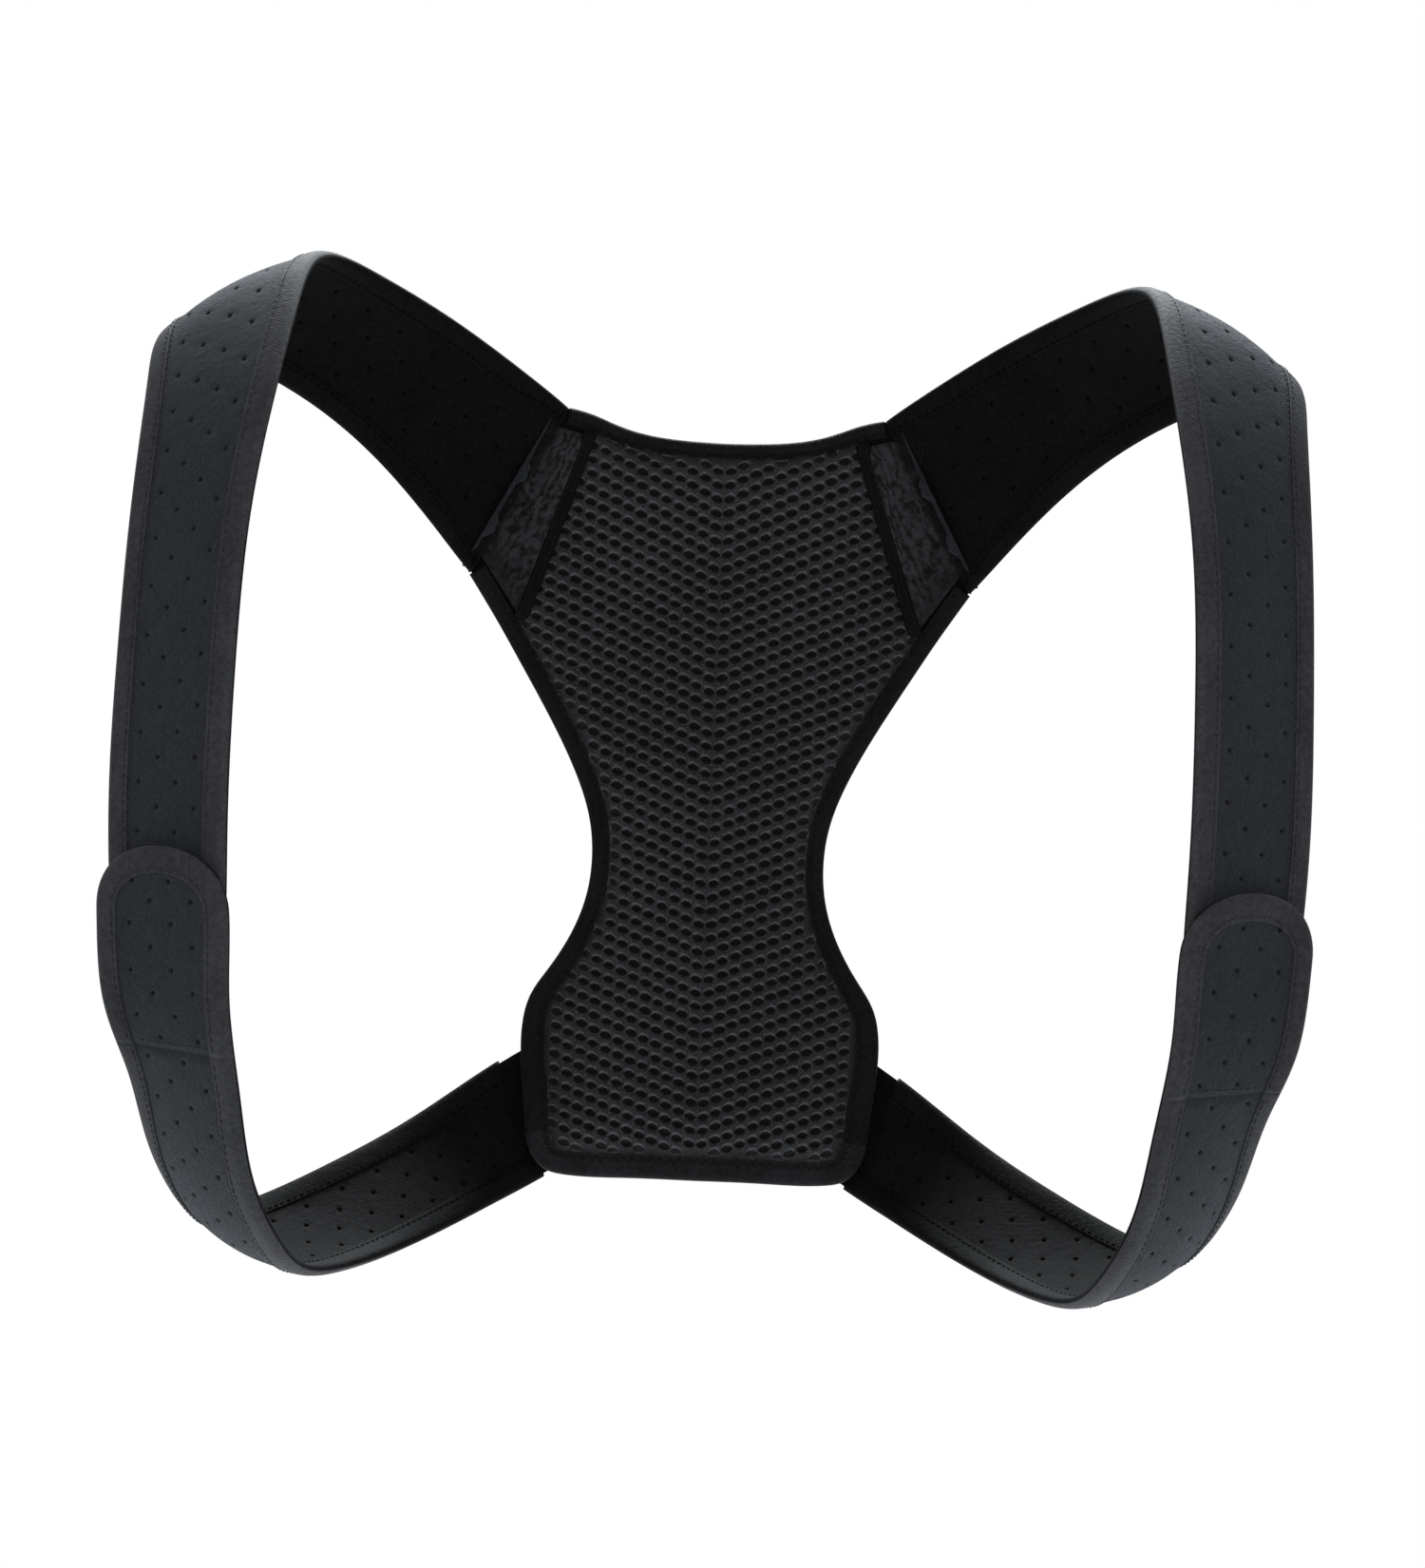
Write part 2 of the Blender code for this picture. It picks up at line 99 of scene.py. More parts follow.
UNDERARM = [
    ((146.2, -166, -105.5), (185, -136, -99), 0.5),
    ((142, -148.8, -134.8), (180, -117, -121), 2.5),
    ((134, -126.3, -156), (174, -95, -139), 4.5),
    ((126, -97, -167), (166, -72, -150), 4.5),
    ((111, -64, -167), (151, -47, -149), 2.5),
    ((93, -36, -161), (126, -23, -137), 1.0),
    ((72, -9, -151), (99, 0, -121), 0.3),
    ((53, 12.1, -141), (71, 12.1, -101), 0.0),
    ((24, 10.5, -122), (43, 10.5, -84), 0.0),
]


# ---------------------------------------------------------------- curves and straps

def run_along(points):
    """Distance of each point along the line through them."""
    steps = np.linalg.norm(np.diff(points, axis=0), axis=1)
    return np.concatenate([[0.0], np.cumsum(steps)])


class Spline:
    """Natural cubic curve through the points, read at many distances at once."""

    def __init__(self, knots, points):
        self.knots, self.values = np.asarray(knots, float), np.asarray(points, float)
        count, step = len(self.knots), np.diff(self.knots)[:, None]
        system, right = np.eye(count), np.zeros_like(self.values)
        slopes = np.diff(self.values, axis=0) / step
        for i in range(1, count - 1):
            low, high = step[i - 1, 0], step[i, 0]
            system[i, i - 1 : i + 2] = low, 2 * (low + high), high
            right[i] = 6 * (slopes[i] - slopes[i - 1])
        self.bend = np.linalg.solve(system, right)

    def __call__(self, at):
        at = np.atleast_1d(np.asarray(at, float))
        knots, values, bend = self.knots, self.values, self.bend
        j = np.clip(np.searchsorted(knots, at) - 1, 0, len(knots) - 2)
        before, after = (at - knots[j])[:, None], (knots[j + 1] - at)[:, None]
        h = np.diff(knots)[j][:, None]
        curve = (bend[j] * after**3 + bend[j + 1] * before**3) / (6 * h)
        curve += (values[j] / h - bend[j] * h / 6) * after
        return curve + (values[j + 1] / h - bend[j + 1] * h / 6) * before


class Strap:
    """A band between two edge curves. s runs along it, a across it from the neck-side edge."""

    def __init__(self, stations):
        first = np.array([s[0] for s in stations], float)
        second = np.array([s[1] for s in stations], float)
        self.knots = run_along((first + second) / 2)
        self.length = self.knots[-1]
        self.first, self.second = Spline(self.knots, first), Spline(self.knots, second)
        self.bow = Spline(self.knots, [[s[2]] for s in stations])

    def frames(self, s):
        s = np.atleast_1d(np.asarray(s, float))
        low, high = np.clip(s - 0.5, 0, self.length), np.clip(s + 0.5, 0, self.length)
        s = np.clip(s, 0, self.length)
        first, second = self.first(s), self.second(s)
        along = self.first(high) + self.second(high) - self.first(low) - self.second(low)
        across = second - first
        width = np.linalg.norm(across, axis=1)[:, None]
        across = across / width
        normal = np.cross(along, across)
        return first, across, width, normal / np.linalg.norm(normal, axis=1)[:, None]

    def width(self, s):
        return self.frames(s)[2][:, 0]

    def place(self, spots):
        """Points of the (s, a, height) rows."""
        spots = np.asarray(spots, float)
        first, across, width, normal = self.frames(spots[:, 0])
        a, height = spots[:, 1:2], spots[:, 2:3]
        rise = self.bow(np.clip(spots[:, 0], 0, self.length)) * (1 - (2 * a / width - 1) ** 2)
        before = np.minimum(spots[:, 0:1], 0)
        along = np.cross(across, normal)
        return first + across * a + normal * (rise + height) + along * before


class RoundEnd:
    """Rounded end of a strap, with the outline inset by u."""

    def __init__(self, strap, end, along, across, power):
        self.power, self.along, self.across = power, along, across
        self.sign = 1 if end > strap.length / 2 else -1
        self.centre = end - self.sign * along
        self.full = strap.width(self.centre)[0]

    def corner(self, angle, u, second):
        s = self.centre + self.sign * (self.along - u) * np.sin(angle) ** (2 / self.power)
        a = self.across - (self.across - u) * np.cos(angle) ** (2 / self.power)
        return s, self.full - a if second else a

    def inset(self, s, u):
        beyond = np.clip(self.sign * (s - self.centre), 0, None) / (self.along - u)
        rest = np.clip(1 - beyond**self.power, 0, 1) ** (1 / self.power)
        return u + (self.across - u) * (1 - rest)


def steps_between(low, high, pitch):
    """Even steps of about the pitch."""
    return np.linspace(low, high, max(2, int(round((high - low) / pitch)) + 1))


def bend(z):
    """Depth of the panel's middle plane at height z."""
    top, bottom = np.clip(z - FLAT_HIGH, 0, None), np.clip(FLAT_LOW - z, 0, None)
    return -BEND_TOP * top**2 - BEND_BOTTOM * bottom**2


def smooth_path(points, pitch):
    """The smooth curve through the points, in even steps."""
    points = np.asarray(points, float)
    knots = run_along(points)
    return Spline(knots, points)(steps_between(0, knots[-1], pitch))


def inward(points):
    """Unit directions into the panel, square to the line."""
    along = np.gradient(np.asarray(points, float), axis=0)
    along /= np.linalg.norm(along, axis=1)[:, None]
    return np.stack([-along[:, 1], along[:, 0]], axis=1)


def side_lip(z):
    """Width of the side tape on each face, narrower above the lobes."""
    return TAPE_LIP - 2.1 * np.clip((z + 90.0) / 40.0, 0, 1)


HEM_LINE = smooth_path(CORNER, 2.0)[::-1]
SIDE_HEIGHTS = np.arange(-125.0, 70.1, 2.5)
SIDE_CURVE = Spline([z for z, _ in SIDE], [[x] for _, x in SIDE])
SIDE_LINE = np.stack([SIDE_CURVE(SIDE_HEIGHTS)[:, 0], SIDE_HEIGHTS], 1)
NECK_LINE = smooth_path(NECK, 2.0)[::-1]
LOWER = np.concatenate([HEM_LINE, SIDE_LINE[1:]])
LOWER_IN = inward(LOWER)


def resample(points, pitch):
    """Points in even steps along the straight pieces of a line."""
    points = np.asarray(points, float)
    run = run_along(points)
    at = steps_between(0, run[-1], pitch)
    return np.stack([np.interp(at, run, points[:, k]) for k in range(points.shape[1])], axis=1)


def half_outline(hem, side_in, neck, low, high):
    """Right half of the panel's outline, inset, from the hem's middle to the neckline's middle."""
    share = np.clip((LOWER[:, 1] + 137.0) / 25.0, 0, 1)
    first = LOWER + LOWER_IN * (hem + (side_in(LOWER[:, 1]) - hem) * share)[:, None]
    third = NECK_LINE + inward(NECK_LINE) * neck
    first[0, 0] = third[-1, 0] = 0.0
    first = first[first[:, 1] < low[1]]
    third = third[third[:, 0] < high[0]]
    return np.concatenate([first, [low], [high], third])


def whole(half):
    """Closed outline from its right half."""
    return np.concatenate([half, half[1:-1][::-1] * (-1, 1)])


def edge_distance(points, loop):
    """Signed distance of (x, z) points inside a closed loop, and the nearest point on it."""
    points, start = np.asarray(points, float), np.asarray(loop, float)
    step = np.roll(start, -1, axis=0) - start
    best, near = np.full(len(points), 1e9), np.zeros_like(points)
    inside = np.zeros(len(points), bool)
    for a, d in zip(start, step):
        t = np.clip(((points - a) @ d) / max(d @ d, 1e-9), 0, 1)
        foot = a + t[:, None] * d
        gap = np.linalg.norm(points - foot, axis=1)
        closer = gap < best
        best[closer], near[closer] = gap[closer], foot[closer]
        b = a + d
        crosses = (a[1] > points[:, 1]) != (b[1] > points[:, 1])
        x = a[0] + (points[:, 1] - a[1]) / (b[1] - a[1] if b[1] != a[1] else 1e-9) * d[0]
        inside ^= crosses & (points[:, 0] < x)
    return np.where(inside, best, -best), near


# ---------------------------------------------------------------- meshes

class Sheet:
    """Points with pattern marks, and faces, that become one object. In the pits and the mesh, a
    mark's third value paints shade or a highlight.
    """

    def __init__(self):
        self.spots, self.marks, self.faces, self.looks, self.smooth = [], [], [], [], []

    def add(self, spot, mark):
        self.spots.append(spot)
        self.marks.append(mark)
        return len(self.spots) - 1

    def face(self, corners, look=0, smooth=True):
        if len(set(corners)) > 2:
            self.faces.append(tuple(dict.fromkeys(corners)))
            self.looks.append(look)
            self.smooth.append(smooth)

    def strip(self, low, high, look=0, smooth=True):
        for i in range(len(low) - 1):
            self.face((low[i], low[i + 1], high[i + 1], high[i]), look, smooth)

    def weld(self, outside, partner=None):
        """Joins coincident points and drops faces that clipping closed up.

        The border is then closed to the partner points, if there are any.
        """
        first = {}
        keys = [tuple(round(float(c), 2) for c in spot) for spot in self.spots]
        same = [first.setdefault(key, k) for k, key in enumerate(keys)]
        outside, kept = {same[k] for k in outside}, {}
        for face, look, smooth in zip(self.faces, self.looks, self.smooth):
            corners = tuple(dict.fromkeys(same[v] for v in face))
            if len(corners) > 2 and not outside.issuperset(corners):
                kept.setdefault(frozenset(corners), (corners, look, smooth))
        self.faces, self.looks, self.smooth = (list(row) for row in zip(*kept.values()))
        if partner is None:
            return
        partner, uses = {same[k]: same[m] for k, m in partner.items()}, {}
        for face in self.faces:
            for a, b in zip(face, face[1:] + face[:1]):
                edge = frozenset((a, b))
                if a in partner and b in partner:
                    uses[edge] = uses.get(edge, 0) + 1
        for a, b in (tuple(edge) for edge, times in uses.items() if times == 1):
            self.face((a, b, partner[b], partner[a]), 0, False)

    def rings(self, rows, looks=None):
        """Closed loft through equal rings of point numbers, with flat ends."""
        size = len(rows[0])
        looks = looks or [0] * size
        for low, high in zip(rows, rows[1:]):
            for i in range(size):
                j = (i + 1) % size
                self.face((low[i], low[j], high[j], high[i]), looks[i])
        self.face(tuple(rows[0]), looks[-1], False)
        self.face(tuple(rows[-1][::-1]), looks[-1], False)

    def build(self, name, side, looks, place=None, subdivide=0):
        points = np.asarray(self.spots, float) if place is None else place(self.spots)
        points = points * (side * MM, MM, MM)
        mesh = bpy.data.meshes.new(name)
        mesh.from_pydata([tuple(p) for p in points], [], self.faces)
        for look in looks:
            mesh.materials.append(look)
        mesh.polygons.foreach_set("material_index", self.looks)
        mesh.polygons.foreach_set("use_smooth", self.smooth)
        pattern = mesh.attributes.new("weave", "FLOAT_VECTOR", "POINT")
        pattern.data.foreach_set("vector", np.asarray(self.marks, np.float32).ravel())
        bm = bmesh.new()
        bm.from_mesh(mesh)
        bmesh.ops.recalc_face_normals(bm, faces=bm.faces)
        bm.to_mesh(mesh)
        bm.free()
        obj = bpy.data.objects.new(name, mesh)
        bpy.context.scene.collection.objects.link(obj)
        if subdivide:
            level = obj.modifiers.new("smooth", "SUBSURF")
            level.levels = level.render_levels = subdivide
        return obj


def merge(obj, reach):
    """Joins points closer than reach (mm) and drops those that no face uses."""
    bm = bmesh.new()
    bm.from_mesh(obj.data)
    bmesh.ops.remove_doubles(bm, verts=bm.verts, dist=reach * MM)
    bmesh.ops.delete(bm, geom=[v for v in bm.verts if not v.link_faces], context="VERTS")
    bm.to_mesh(obj.data)
    bm.free()


# Rings of a pit: half length along p, half length along q, height and mark; the mark paints shade
# into the pit.
PERFORATION = [
    (1.5, 1.5, 1.19, 0.0), (0.95, 0.95, 1.02, 0.2), (0.7, 0.7, 0.7, 0.8),
    (0.58, 0.58, 0.35, 1.0),
]


def cell_grid(sheet, nodes, heights, holed, look, up=1, rings=PERFORATION, shear=None,
              lens=(0.71, 0.71), tops=None, wander=None):
    """Face made of cells, two steps of nodes wide and long, where a cell may hold a pit.

    nodes[i][j] is (p, q). The rings run from the rim to the bottom of a pit; a pair of
    heights or marks is for its lower and its upper side. lens draws in a ring's corners,
    shear(p, q) slants it, and the generator wander moves and scales each pit a little.
    tops gives a node's mark. Marks above zero paint shade, and in the mesh, marks below zero paint
    a highlight.
    """
    rows, columns = len(nodes), len(nodes[0])
    index = np.zeros((rows, columns), int)
    for i in range(rows):
        for j in range(columns):
            p, q = nodes[i][j]
            mark = tops(i, j) if tops else 0.0
            index[i, j] = sheet.add((p, q, heights(i, j)), (p, q, mark))
    turn = [(-1, -1), (-1, 0), (-1, 1), (0, 1), (1, 1), (1, 0), (1, -1), (0, -1)]
    for i in range(1, rows - 1, 2):
        for j in range(1, columns - 1, 2):
            border = [index[i + di, j + dj] for di, dj in turn]
            centre = index[i, j]
            if not holed(i, j):
                for k in range(0, 8, 2):
                    sheet.face((border[k], border[k + 1], centre, border[k - 1]), look)
                continue
            p, q = nodes[i][j]
            swell = 1.0
            if wander:
                move, swell = wander.uniform(-0.14, 0.14, 2), wander.uniform(0.93, 1.07)
                p, q = p + move[0], q + move[1]
            outer = border
            for along, across, height, mark in rings:
                inner = []
                rise, tone = height, mark
                for di, dj in turn:
                    if isinstance(height, tuple):
                        rise, tone = height[dj > 0], mark[dj > 0]
                    size = lens if di and dj else (1.0, 1.0)
                    dp, dq = di * size[0] * along * swell, dj * size[1] * across * swell
                    spot = (p + dp, q + dq + (shear(p, q) if shear else 0.0) * dp)
                    inner.append(sheet.add((*spot, rise * up), (*spot, tone)))
                sheet.strip([*outer, outer[0]], [*inner, inner[0]], look)
                outer = inner
            sheet.spots[centre] = (p, q, rings[-1][2] * up)
            sheet.marks[centre] = (p, q, rings[-1][3])
            for k in range(0, 8, 2):
                sheet.face((outer[k], outer[k + 1], centre, outer[k - 1]), look)
    return index


def strap_slab(name, strap, s_rows, inset, columns, side, looks):
    """Closed perforated band: outer face with look 0, inner face with look 1."""
    sheet = Sheet()
    s_rows = np.asarray(s_rows)
    widths, insets = strap.width(s_rows), inset(s_rows)
    share = np.linspace(0, 1, 2 * columns + 1)
    nodes = [[(s, i + f * (w - 2 * i)) for f in share]
             for s, w, i in zip(s_rows, widths, insets)]

    def holed(i, j):
        a, clear = nodes[i][j][1], TAPE_LIP + 1.5
        between = clear < a < widths[i] - clear
        return (i // 2 + j // 2) % 2 == 0 and between and insets[i] < 8

    top, low = [cell_grid(sheet, nodes, lambda i, j: up * STRAP_T / 2, holed, look, up)
                for up, look in ((1, 0), (-1, 1))]
    sheet.strip(top[:, 0], low[:, 0], 1)
    sheet.strip(top[:, -1], low[:, -1], 1)
    sheet.strip(top[0], low[0], 1, False)
    sheet.strip(top[-1], low[-1], 1, False)
    return sheet.build(name, side, looks, strap.place)


def tape_section(lip, pucker):
    """Folded tape's closed section as (u, h, mark); u runs inwards from the edge."""
    half = [
        (lip, 1.3), (lip + 0.05, 1.6), (lip - 0.35, 1.86 - pucker * 0.3),
        (lip - 1.1, 1.82 - pucker), (lip - 2.1, 1.98 - pucker * 0.5), (lip * 0.52, 2.12),
        (lip * 0.3, 2.14), (1.5, 1.98), (0.55, 1.5), (0.08, 0.75), (-0.05, 0.0)]
    outer = half + [(u, -h) for u, h in half[-2::-1]]
    inner = [(1.05, -1.28), (0.85, 0.0), (1.05, 1.28)]
    return outer + inner


def tape(name, spots, lips, side, looks, place=None):
    """spots is a list of functions (u, h) -> spot, at nearly equal steps."""
    sheet, rows, run, last = Sheet(), [], 0.0, None
    for number, spot in enumerate(spots):
        ease = min(1.0, number / 3, (len(spots) - 1 - number) / 3)
        pucker = 0.13 + ease * (0.09 * math.sin(number * 2.9) + 0.05 * math.sin(number * 0.71))
        here = np.array(spot(2.0, 0.0)[:3], float)
        if last is not None:
            run += float(np.linalg.norm(here - last))
        last = here
        rows.append([sheet.add(spot(u, h), (run, u, min(1.0, max(-1.0, h / 0.9))))
                     for u, h in tape_section(lips[number], pucker)])
    # the wearer-side half of the tape takes the second look, a darker copy of the same tape as
    # painted shade
    sheet.rings(rows, [0] * 10 + [1] * 14)
    return sheet.build(name, side, looks, place)


def strap_tape_spots(strap, s_values, second):
    """Spot functions of a tape along one edge of a strap."""
    widths = strap.width(s_values)
    if second:
        return [lambda u, h, s=s, w=w: (s, w - u, h) for s, w in zip(s_values, widths)]
    return [lambda u, h, s=s: (s, u, h) for s in s_values]


def drawn_in(spots, s_values, shift, run):
    """The same spots, drawn inwards from the edge by shift at s = 0, easing over run."""
    def eased(spot, more):
        return lambda u, h: spot(u + more, h)

    more = shift * np.exp(-np.clip(s_values, 0, None) / run)
    plain = spots[len(more) : len(spots) - len(more)]
    first = [eased(spot, m) for spot, m in zip(spots, more)]
    return first + plain + [eased(spot, m) for spot, m in zip(spots[-len(more):], more[::-1])]


def rounded_tape_spots(strap, s_values, end):
    """Spot functions up one edge, round the end and back along the other edge."""
    toward = np.array(sorted(s_values, key=lambda s: end.sign * s))
    spots = strap_tape_spots(strap, toward, False)
    turn = np.radians(np.linspace(0, 90, 22))[1:]
    spots += [lambda u, h, g=g: (*end.corner(g, u, False), h) for g in turn]
    back = turn[:-1][::-1]
    if end.full > 2 * end.across + 1:
        back, tip = turn[::-1], end.centre + end.sign * end.along
        spots += [lambda u, h, a=a: (tip - end.sign * u, a, h)
                  for a in steps_between(end.across, end.full - end.across, 1.5)[1:-1]]
    spots += [lambda u, h, g=g: (*end.corner(g, u, True), h) for g in back]
    return spots + strap_tape_spots(strap, toward[::-1], True)


# ---------------------------------------------------------------- materials

class Graph:
    """Wires a material's nodes."""

    def __init__(self, name):
        self.material = bpy.data.materials.new(name)
        self.material.use_nodes = True
        self.tree = self.material.node_tree
        self.shader = self.tree.nodes["Principled BSDF"]

    def put(self, socket, value):
        if hasattr(value, "is_linked"):
            self.tree.links.new(value, socket)
        else:
            socket.default_value = value

    def math(self, operation, *values):
        node = self.tree.nodes.new("ShaderNodeMath")
        node.operation = operation
        for socket, value in zip(node.inputs, values):
            self.put(socket, value)
        return node.outputs[0]

    def weave(self):
        node = self.tree.nodes.new("ShaderNodeAttribute")
        node.attribute_name = "weave"
        parts = self.tree.nodes.new("ShaderNodeSeparateXYZ")
        self.tree.links.new(node.outputs["Vector"], parts.inputs[0])
        return parts.outputs

    def noise(self, scale, detail=2.0, stretch=(1, 1, 1), rough=0.5):
        node = self.tree.nodes.new("ShaderNodeTexNoise")
        where = self.tree.nodes.new("ShaderNodeTexCoord")
        mapping = self.tree.nodes.new("ShaderNodeMapping")
        self.put(mapping.inputs["Vector"], where.outputs["Object"])
        mapping.inputs["Scale"].default_value = stretch
        self.put(node.inputs["Vector"], mapping.outputs[0])
        node.inputs["Scale"].default_value = scale
        node.inputs["Detail"].default_value = detail
        node.inputs["Roughness"].default_value = rough
        return node.outputs["Fac"]

    def mix(self, factor, low, high):
        node = self.tree.nodes.new("ShaderNodeMix")
        node.data_type = "RGBA"
        self.put(node.inputs[0], factor)
        for socket, value in ((node.inputs[6], low), (node.inputs[7], high)):
            self.put(socket, value if hasattr(value, "is_linked") else (*value, 1.0))
        return node.outputs[2]

    def between(self, value, low, high):
        """1 where value is above high, 0 below low."""
        node = self.tree.nodes.new("ShaderNodeMapRange")
        node.interpolation_type = "SMOOTHSTEP"
        self.put(node.inputs["Value"], value)
        node.inputs["From Min"].default_value = low
        node.inputs["From Max"].default_value = high
        return node.outputs["Result"]

    def bump(self, height, distance, below=None):
        node = self.tree.nodes.new("ShaderNodeBump")
        node.inputs["Distance"].default_value = distance
        node.inputs["Strength"].default_value = 1.0
        self.put(node.inputs["Height"], height)
        if below is not None:
            self.put(node.inputs["Normal"], below)
        return node.outputs[0]

    def wave(self, value, period):
        return self.math("SINE", self.times(value, 2 * math.pi / period))

    def add(self, a, b):
        return self.math("ADD", a, b)

    def times(self, a, b):
        return self.math("MULTIPLY", a, b)

    def blend(self, a, share_a, b, share_b):
        return self.add(self.times(a, share_a), self.times(b, share_b))

    def around(self, middle, grain, amount):
        """middle, moved up and down by the grain."""
        return self.add(middle, self.times(self.math("SUBTRACT", grain, 0.5), amount))


def finish_fabric(graph, colour, roughness, normal, sheen, tint, sheen_rough, specular):
    for name, value in (
            ("Base Color", colour), ("Roughness", roughness), ("Normal", normal),
            ("Sheen Weight", sheen), ("Sheen Tint", (*tint, 1.0)),
            ("Sheen Roughness", sheen_rough), ("Specular IOR Level", specular)):
        graph.put(graph.shader.inputs[name], value)
    return graph.material


def scaled(colour, factor):
    return tuple(c * factor for c in colour)


def knit_look(name, dark, light, sheen, tint, specular, rough=0.72):
    """Fine jersey knit over neoprene, with painted shade darkening its perforations, and soft
    mottling.
    """
    g = Graph(name)
    along, across, depth = g.weave()
    loops = g.times(g.wave(along, 0.9), g.wave(across, 0.75))
    cloud = g.noise(28.0, 3.0)
    grain = g.noise(900.0)
    fleck = g.noise(2600.0, 1.0)
    nap = g.noise(420.0, 4.0, rough=0.7)
    colour = g.mix(g.between(g.blend(cloud, 0.3, nap, 0.7), 0.36, 0.64), dark, light)
    colour = g.mix(g.times(g.between(fleck, 0.56, 0.76), 0.7), colour, scaled(light, 2.6))
    # painted shade: darker towards the bottom of each perforation
    colour = g.mix(g.between(depth, 0.1, 0.9), colour, scaled(dark, 0.4))
    roughness = g.around(rough, grain, 0.25)
    normal = g.bump(g.add(loops, g.times(grain, 1.2)), 0.00012)
    normal = g.bump(g.add(g.times(cloud, 2.0), nap), 0.0006, normal)
    return finish_fabric(g, colour, roughness, normal, sheen, tint, 0.45, specular)


def tape_look(name, dark, light, sheen, tint, specular):
    """Ribbed, slightly brushed binding tape, with a painted sheen lightening it along the fold."""
    g = Graph(name)
    along, u, _ = g.weave()
    ribs = g.wave(along, 0.8)
    twill = g.wave(g.add(along, g.times(u, 0.8)), 1.25)
    grain = g.noise(1300.0)
    cloud = g.noise(45.0)
    nap = g.noise(520.0, 4.0, rough=0.7)
    colour = g.mix(g.between(g.blend(cloud, 0.35, nap, 0.65), 0.36, 0.64), dark, light)
    # painted sheen: lighter along the folded edge, broken up by the grain
    folded = g.math("SUBTRACT", 1.0, g.between(u, 0.3, 2.4))
    fold_sheen = g.times(folded, g.between(grain, 0.35, 0.75))
    colour = g.mix(g.times(fold_sheen, 0.45), colour, scaled(light, 1.7))
    relief = g.add(g.blend(ribs, 0.14, twill, 0.2), g.times(grain, 1.1))
    normal = g.bump(nap, 0.0005, g.bump(relief, 0.00013))
    roughness = g.around(0.68, grain, 0.3)
    return finish_fabric(g, colour, roughness, normal, sheen, tint, 0.4, specular)


def thread_look(name, dark, light, sheen, specular):
    """Twisted sewing thread."""
    g = Graph(name)
    along, across, _ = g.weave()
    ply = g.wave(g.add(along, g.times(across, 2.0)), 0.5)
    grain = g.noise(1900.0, 1.0)
    colour = g.mix(g.between(g.add(g.times(ply, 0.3), grain), 0.2, 0.8), dark, light)
    normal = g.bump(ply, 0.00008)
    return finish_fabric(g, colour, 0.6, normal, sheen, (1, 1, 1), 0.4, specular)


def net_look(name):
    """Knitted spacer mesh: painted highlights on the crowns over the holes, painted shade making
    the pits near black, fine yarn ridges.
    """
    g = Graph(name)
    x, z, depth = g.weave()
    # masks from the depth mark: painted shade in the pits, painted highlight on the crowns
    pit = g.between(depth, 0.1, 0.85)
    crown = g.between(g.times(depth, -1.0), 0.15, 0.9)
    yarn = g.add(g.wave(g.add(x, g.times(z, 0.35)), 0.75), g.wave(z, 0.62))
    grain = g.noise(1500.0)
    cloud = g.noise(22.0)
    shade = g.between(g.blend(cloud, 0.5, grain, 0.5), 0.3, 0.7)
    colour = g.mix(shade, (0.0085, 0.0086, 0.0093), (0.0195, 0.0197, 0.021))
    # painted highlight on the crowns over the holes
    colour = g.mix(g.times(crown, 0.85), colour, (0.07, 0.0705, 0.0742))
    fleck = g.between(g.noise(2300.0, 1.0), 0.55, 0.75)
    colour = g.mix(g.times(fleck, 0.6), colour, (0.085, 0.085, 0.09))
    gap = g.between(g.noise(1900.0, 1.0), 0.52, 0.7)
    colour = g.mix(g.times(gap, 0.5), colour, (0.004, 0.004, 0.0043))
    # painted shade: the pits go near black
    colour = g.mix(pit, colour, (0.0012, 0.0012, 0.0013))
    normal = g.bump(g.add(g.times(yarn, 0.5), grain), 0.00014)
    roughness = g.around(0.6, grain, 0.3)
    return finish_fabric(g, colour, roughness, normal, 0.08, PALE, 0.4, 0.14)


def brushed_look(name, dark, light):
    """Brushed, slightly napped fabric, streaked along the seam, with painted shade darkening it
    towards its outer side.
    """
    g = Graph(name)
    across, along, _ = g.weave()
    nap = g.noise(330.0, 5.0, rough=0.72)
    fleck = g.noise(2200.0, 1.0)
    crease = g.noise(60.0, 3.0, (2.4, 1.0, 0.8), 0.6)
    wisp = g.times(g.math("SUBTRACT", g.noise(130.0, 3.0), 0.5), 0.6)
    streak = g.wave(g.add(g.add(across, g.times(along, 0.35)), wisp), 0.17)
    shade = g.add(g.blend(nap, 0.8, crease, 0.2), g.times(streak, 0.06))
    colour = g.mix(g.between(shade, 0.36, 0.62), dark, light)
    # painted shade: darker towards the outer side; the foot also darkens it towards its lower end
    outer_shade = g.between(g.add(across, g.times(wisp, 0.9)), 0.66, 1.12)
    low = g.add(g.math("SUBTRACT", 1.0, along), g.times(wisp, 0.5))
    foot = g.times(g.between(low, 0.72, 1.0), 0.6)
    colour = g.mix(g.math("MAXIMUM", outer_shade, foot), colour, scaled(dark, 0.35))
    colour = g.mix(g.times(g.between(fleck, 0.62, 0.75), 0.4), colour, scaled(light, 2.4))
    normal = g.bump(crease, 0.0016, g.bump(nap, 0.00035))
    roughness = g.around(0.8, nap, 0.3)
    return finish_fabric(g, colour, roughness, normal, 0.06, PALE, 0.5, 0.06)


def hook_look(name):
    """Field of small moulded hooks."""
    g = Graph(name)
    along, across, _ = g.weave()
    hooks = g.times(g.wave(along, 1.3), g.wave(across, 1.1))
    grain = g.noise(1800.0)
    colour = g.mix(g.between(hooks, 0.1, 0.8), (0.004, 0.004, 0.0045), (0.02, 0.02, 0.022))
    normal = g.bump(g.add(hooks, g.times(grain, 0.6)), 0.0005)
    roughness = g.add(0.4, g.times(grain, 0.2))
    return finish_fabric(g, colour, roughness, normal, 0.05, (1, 1, 1), 0.5, 0.4)


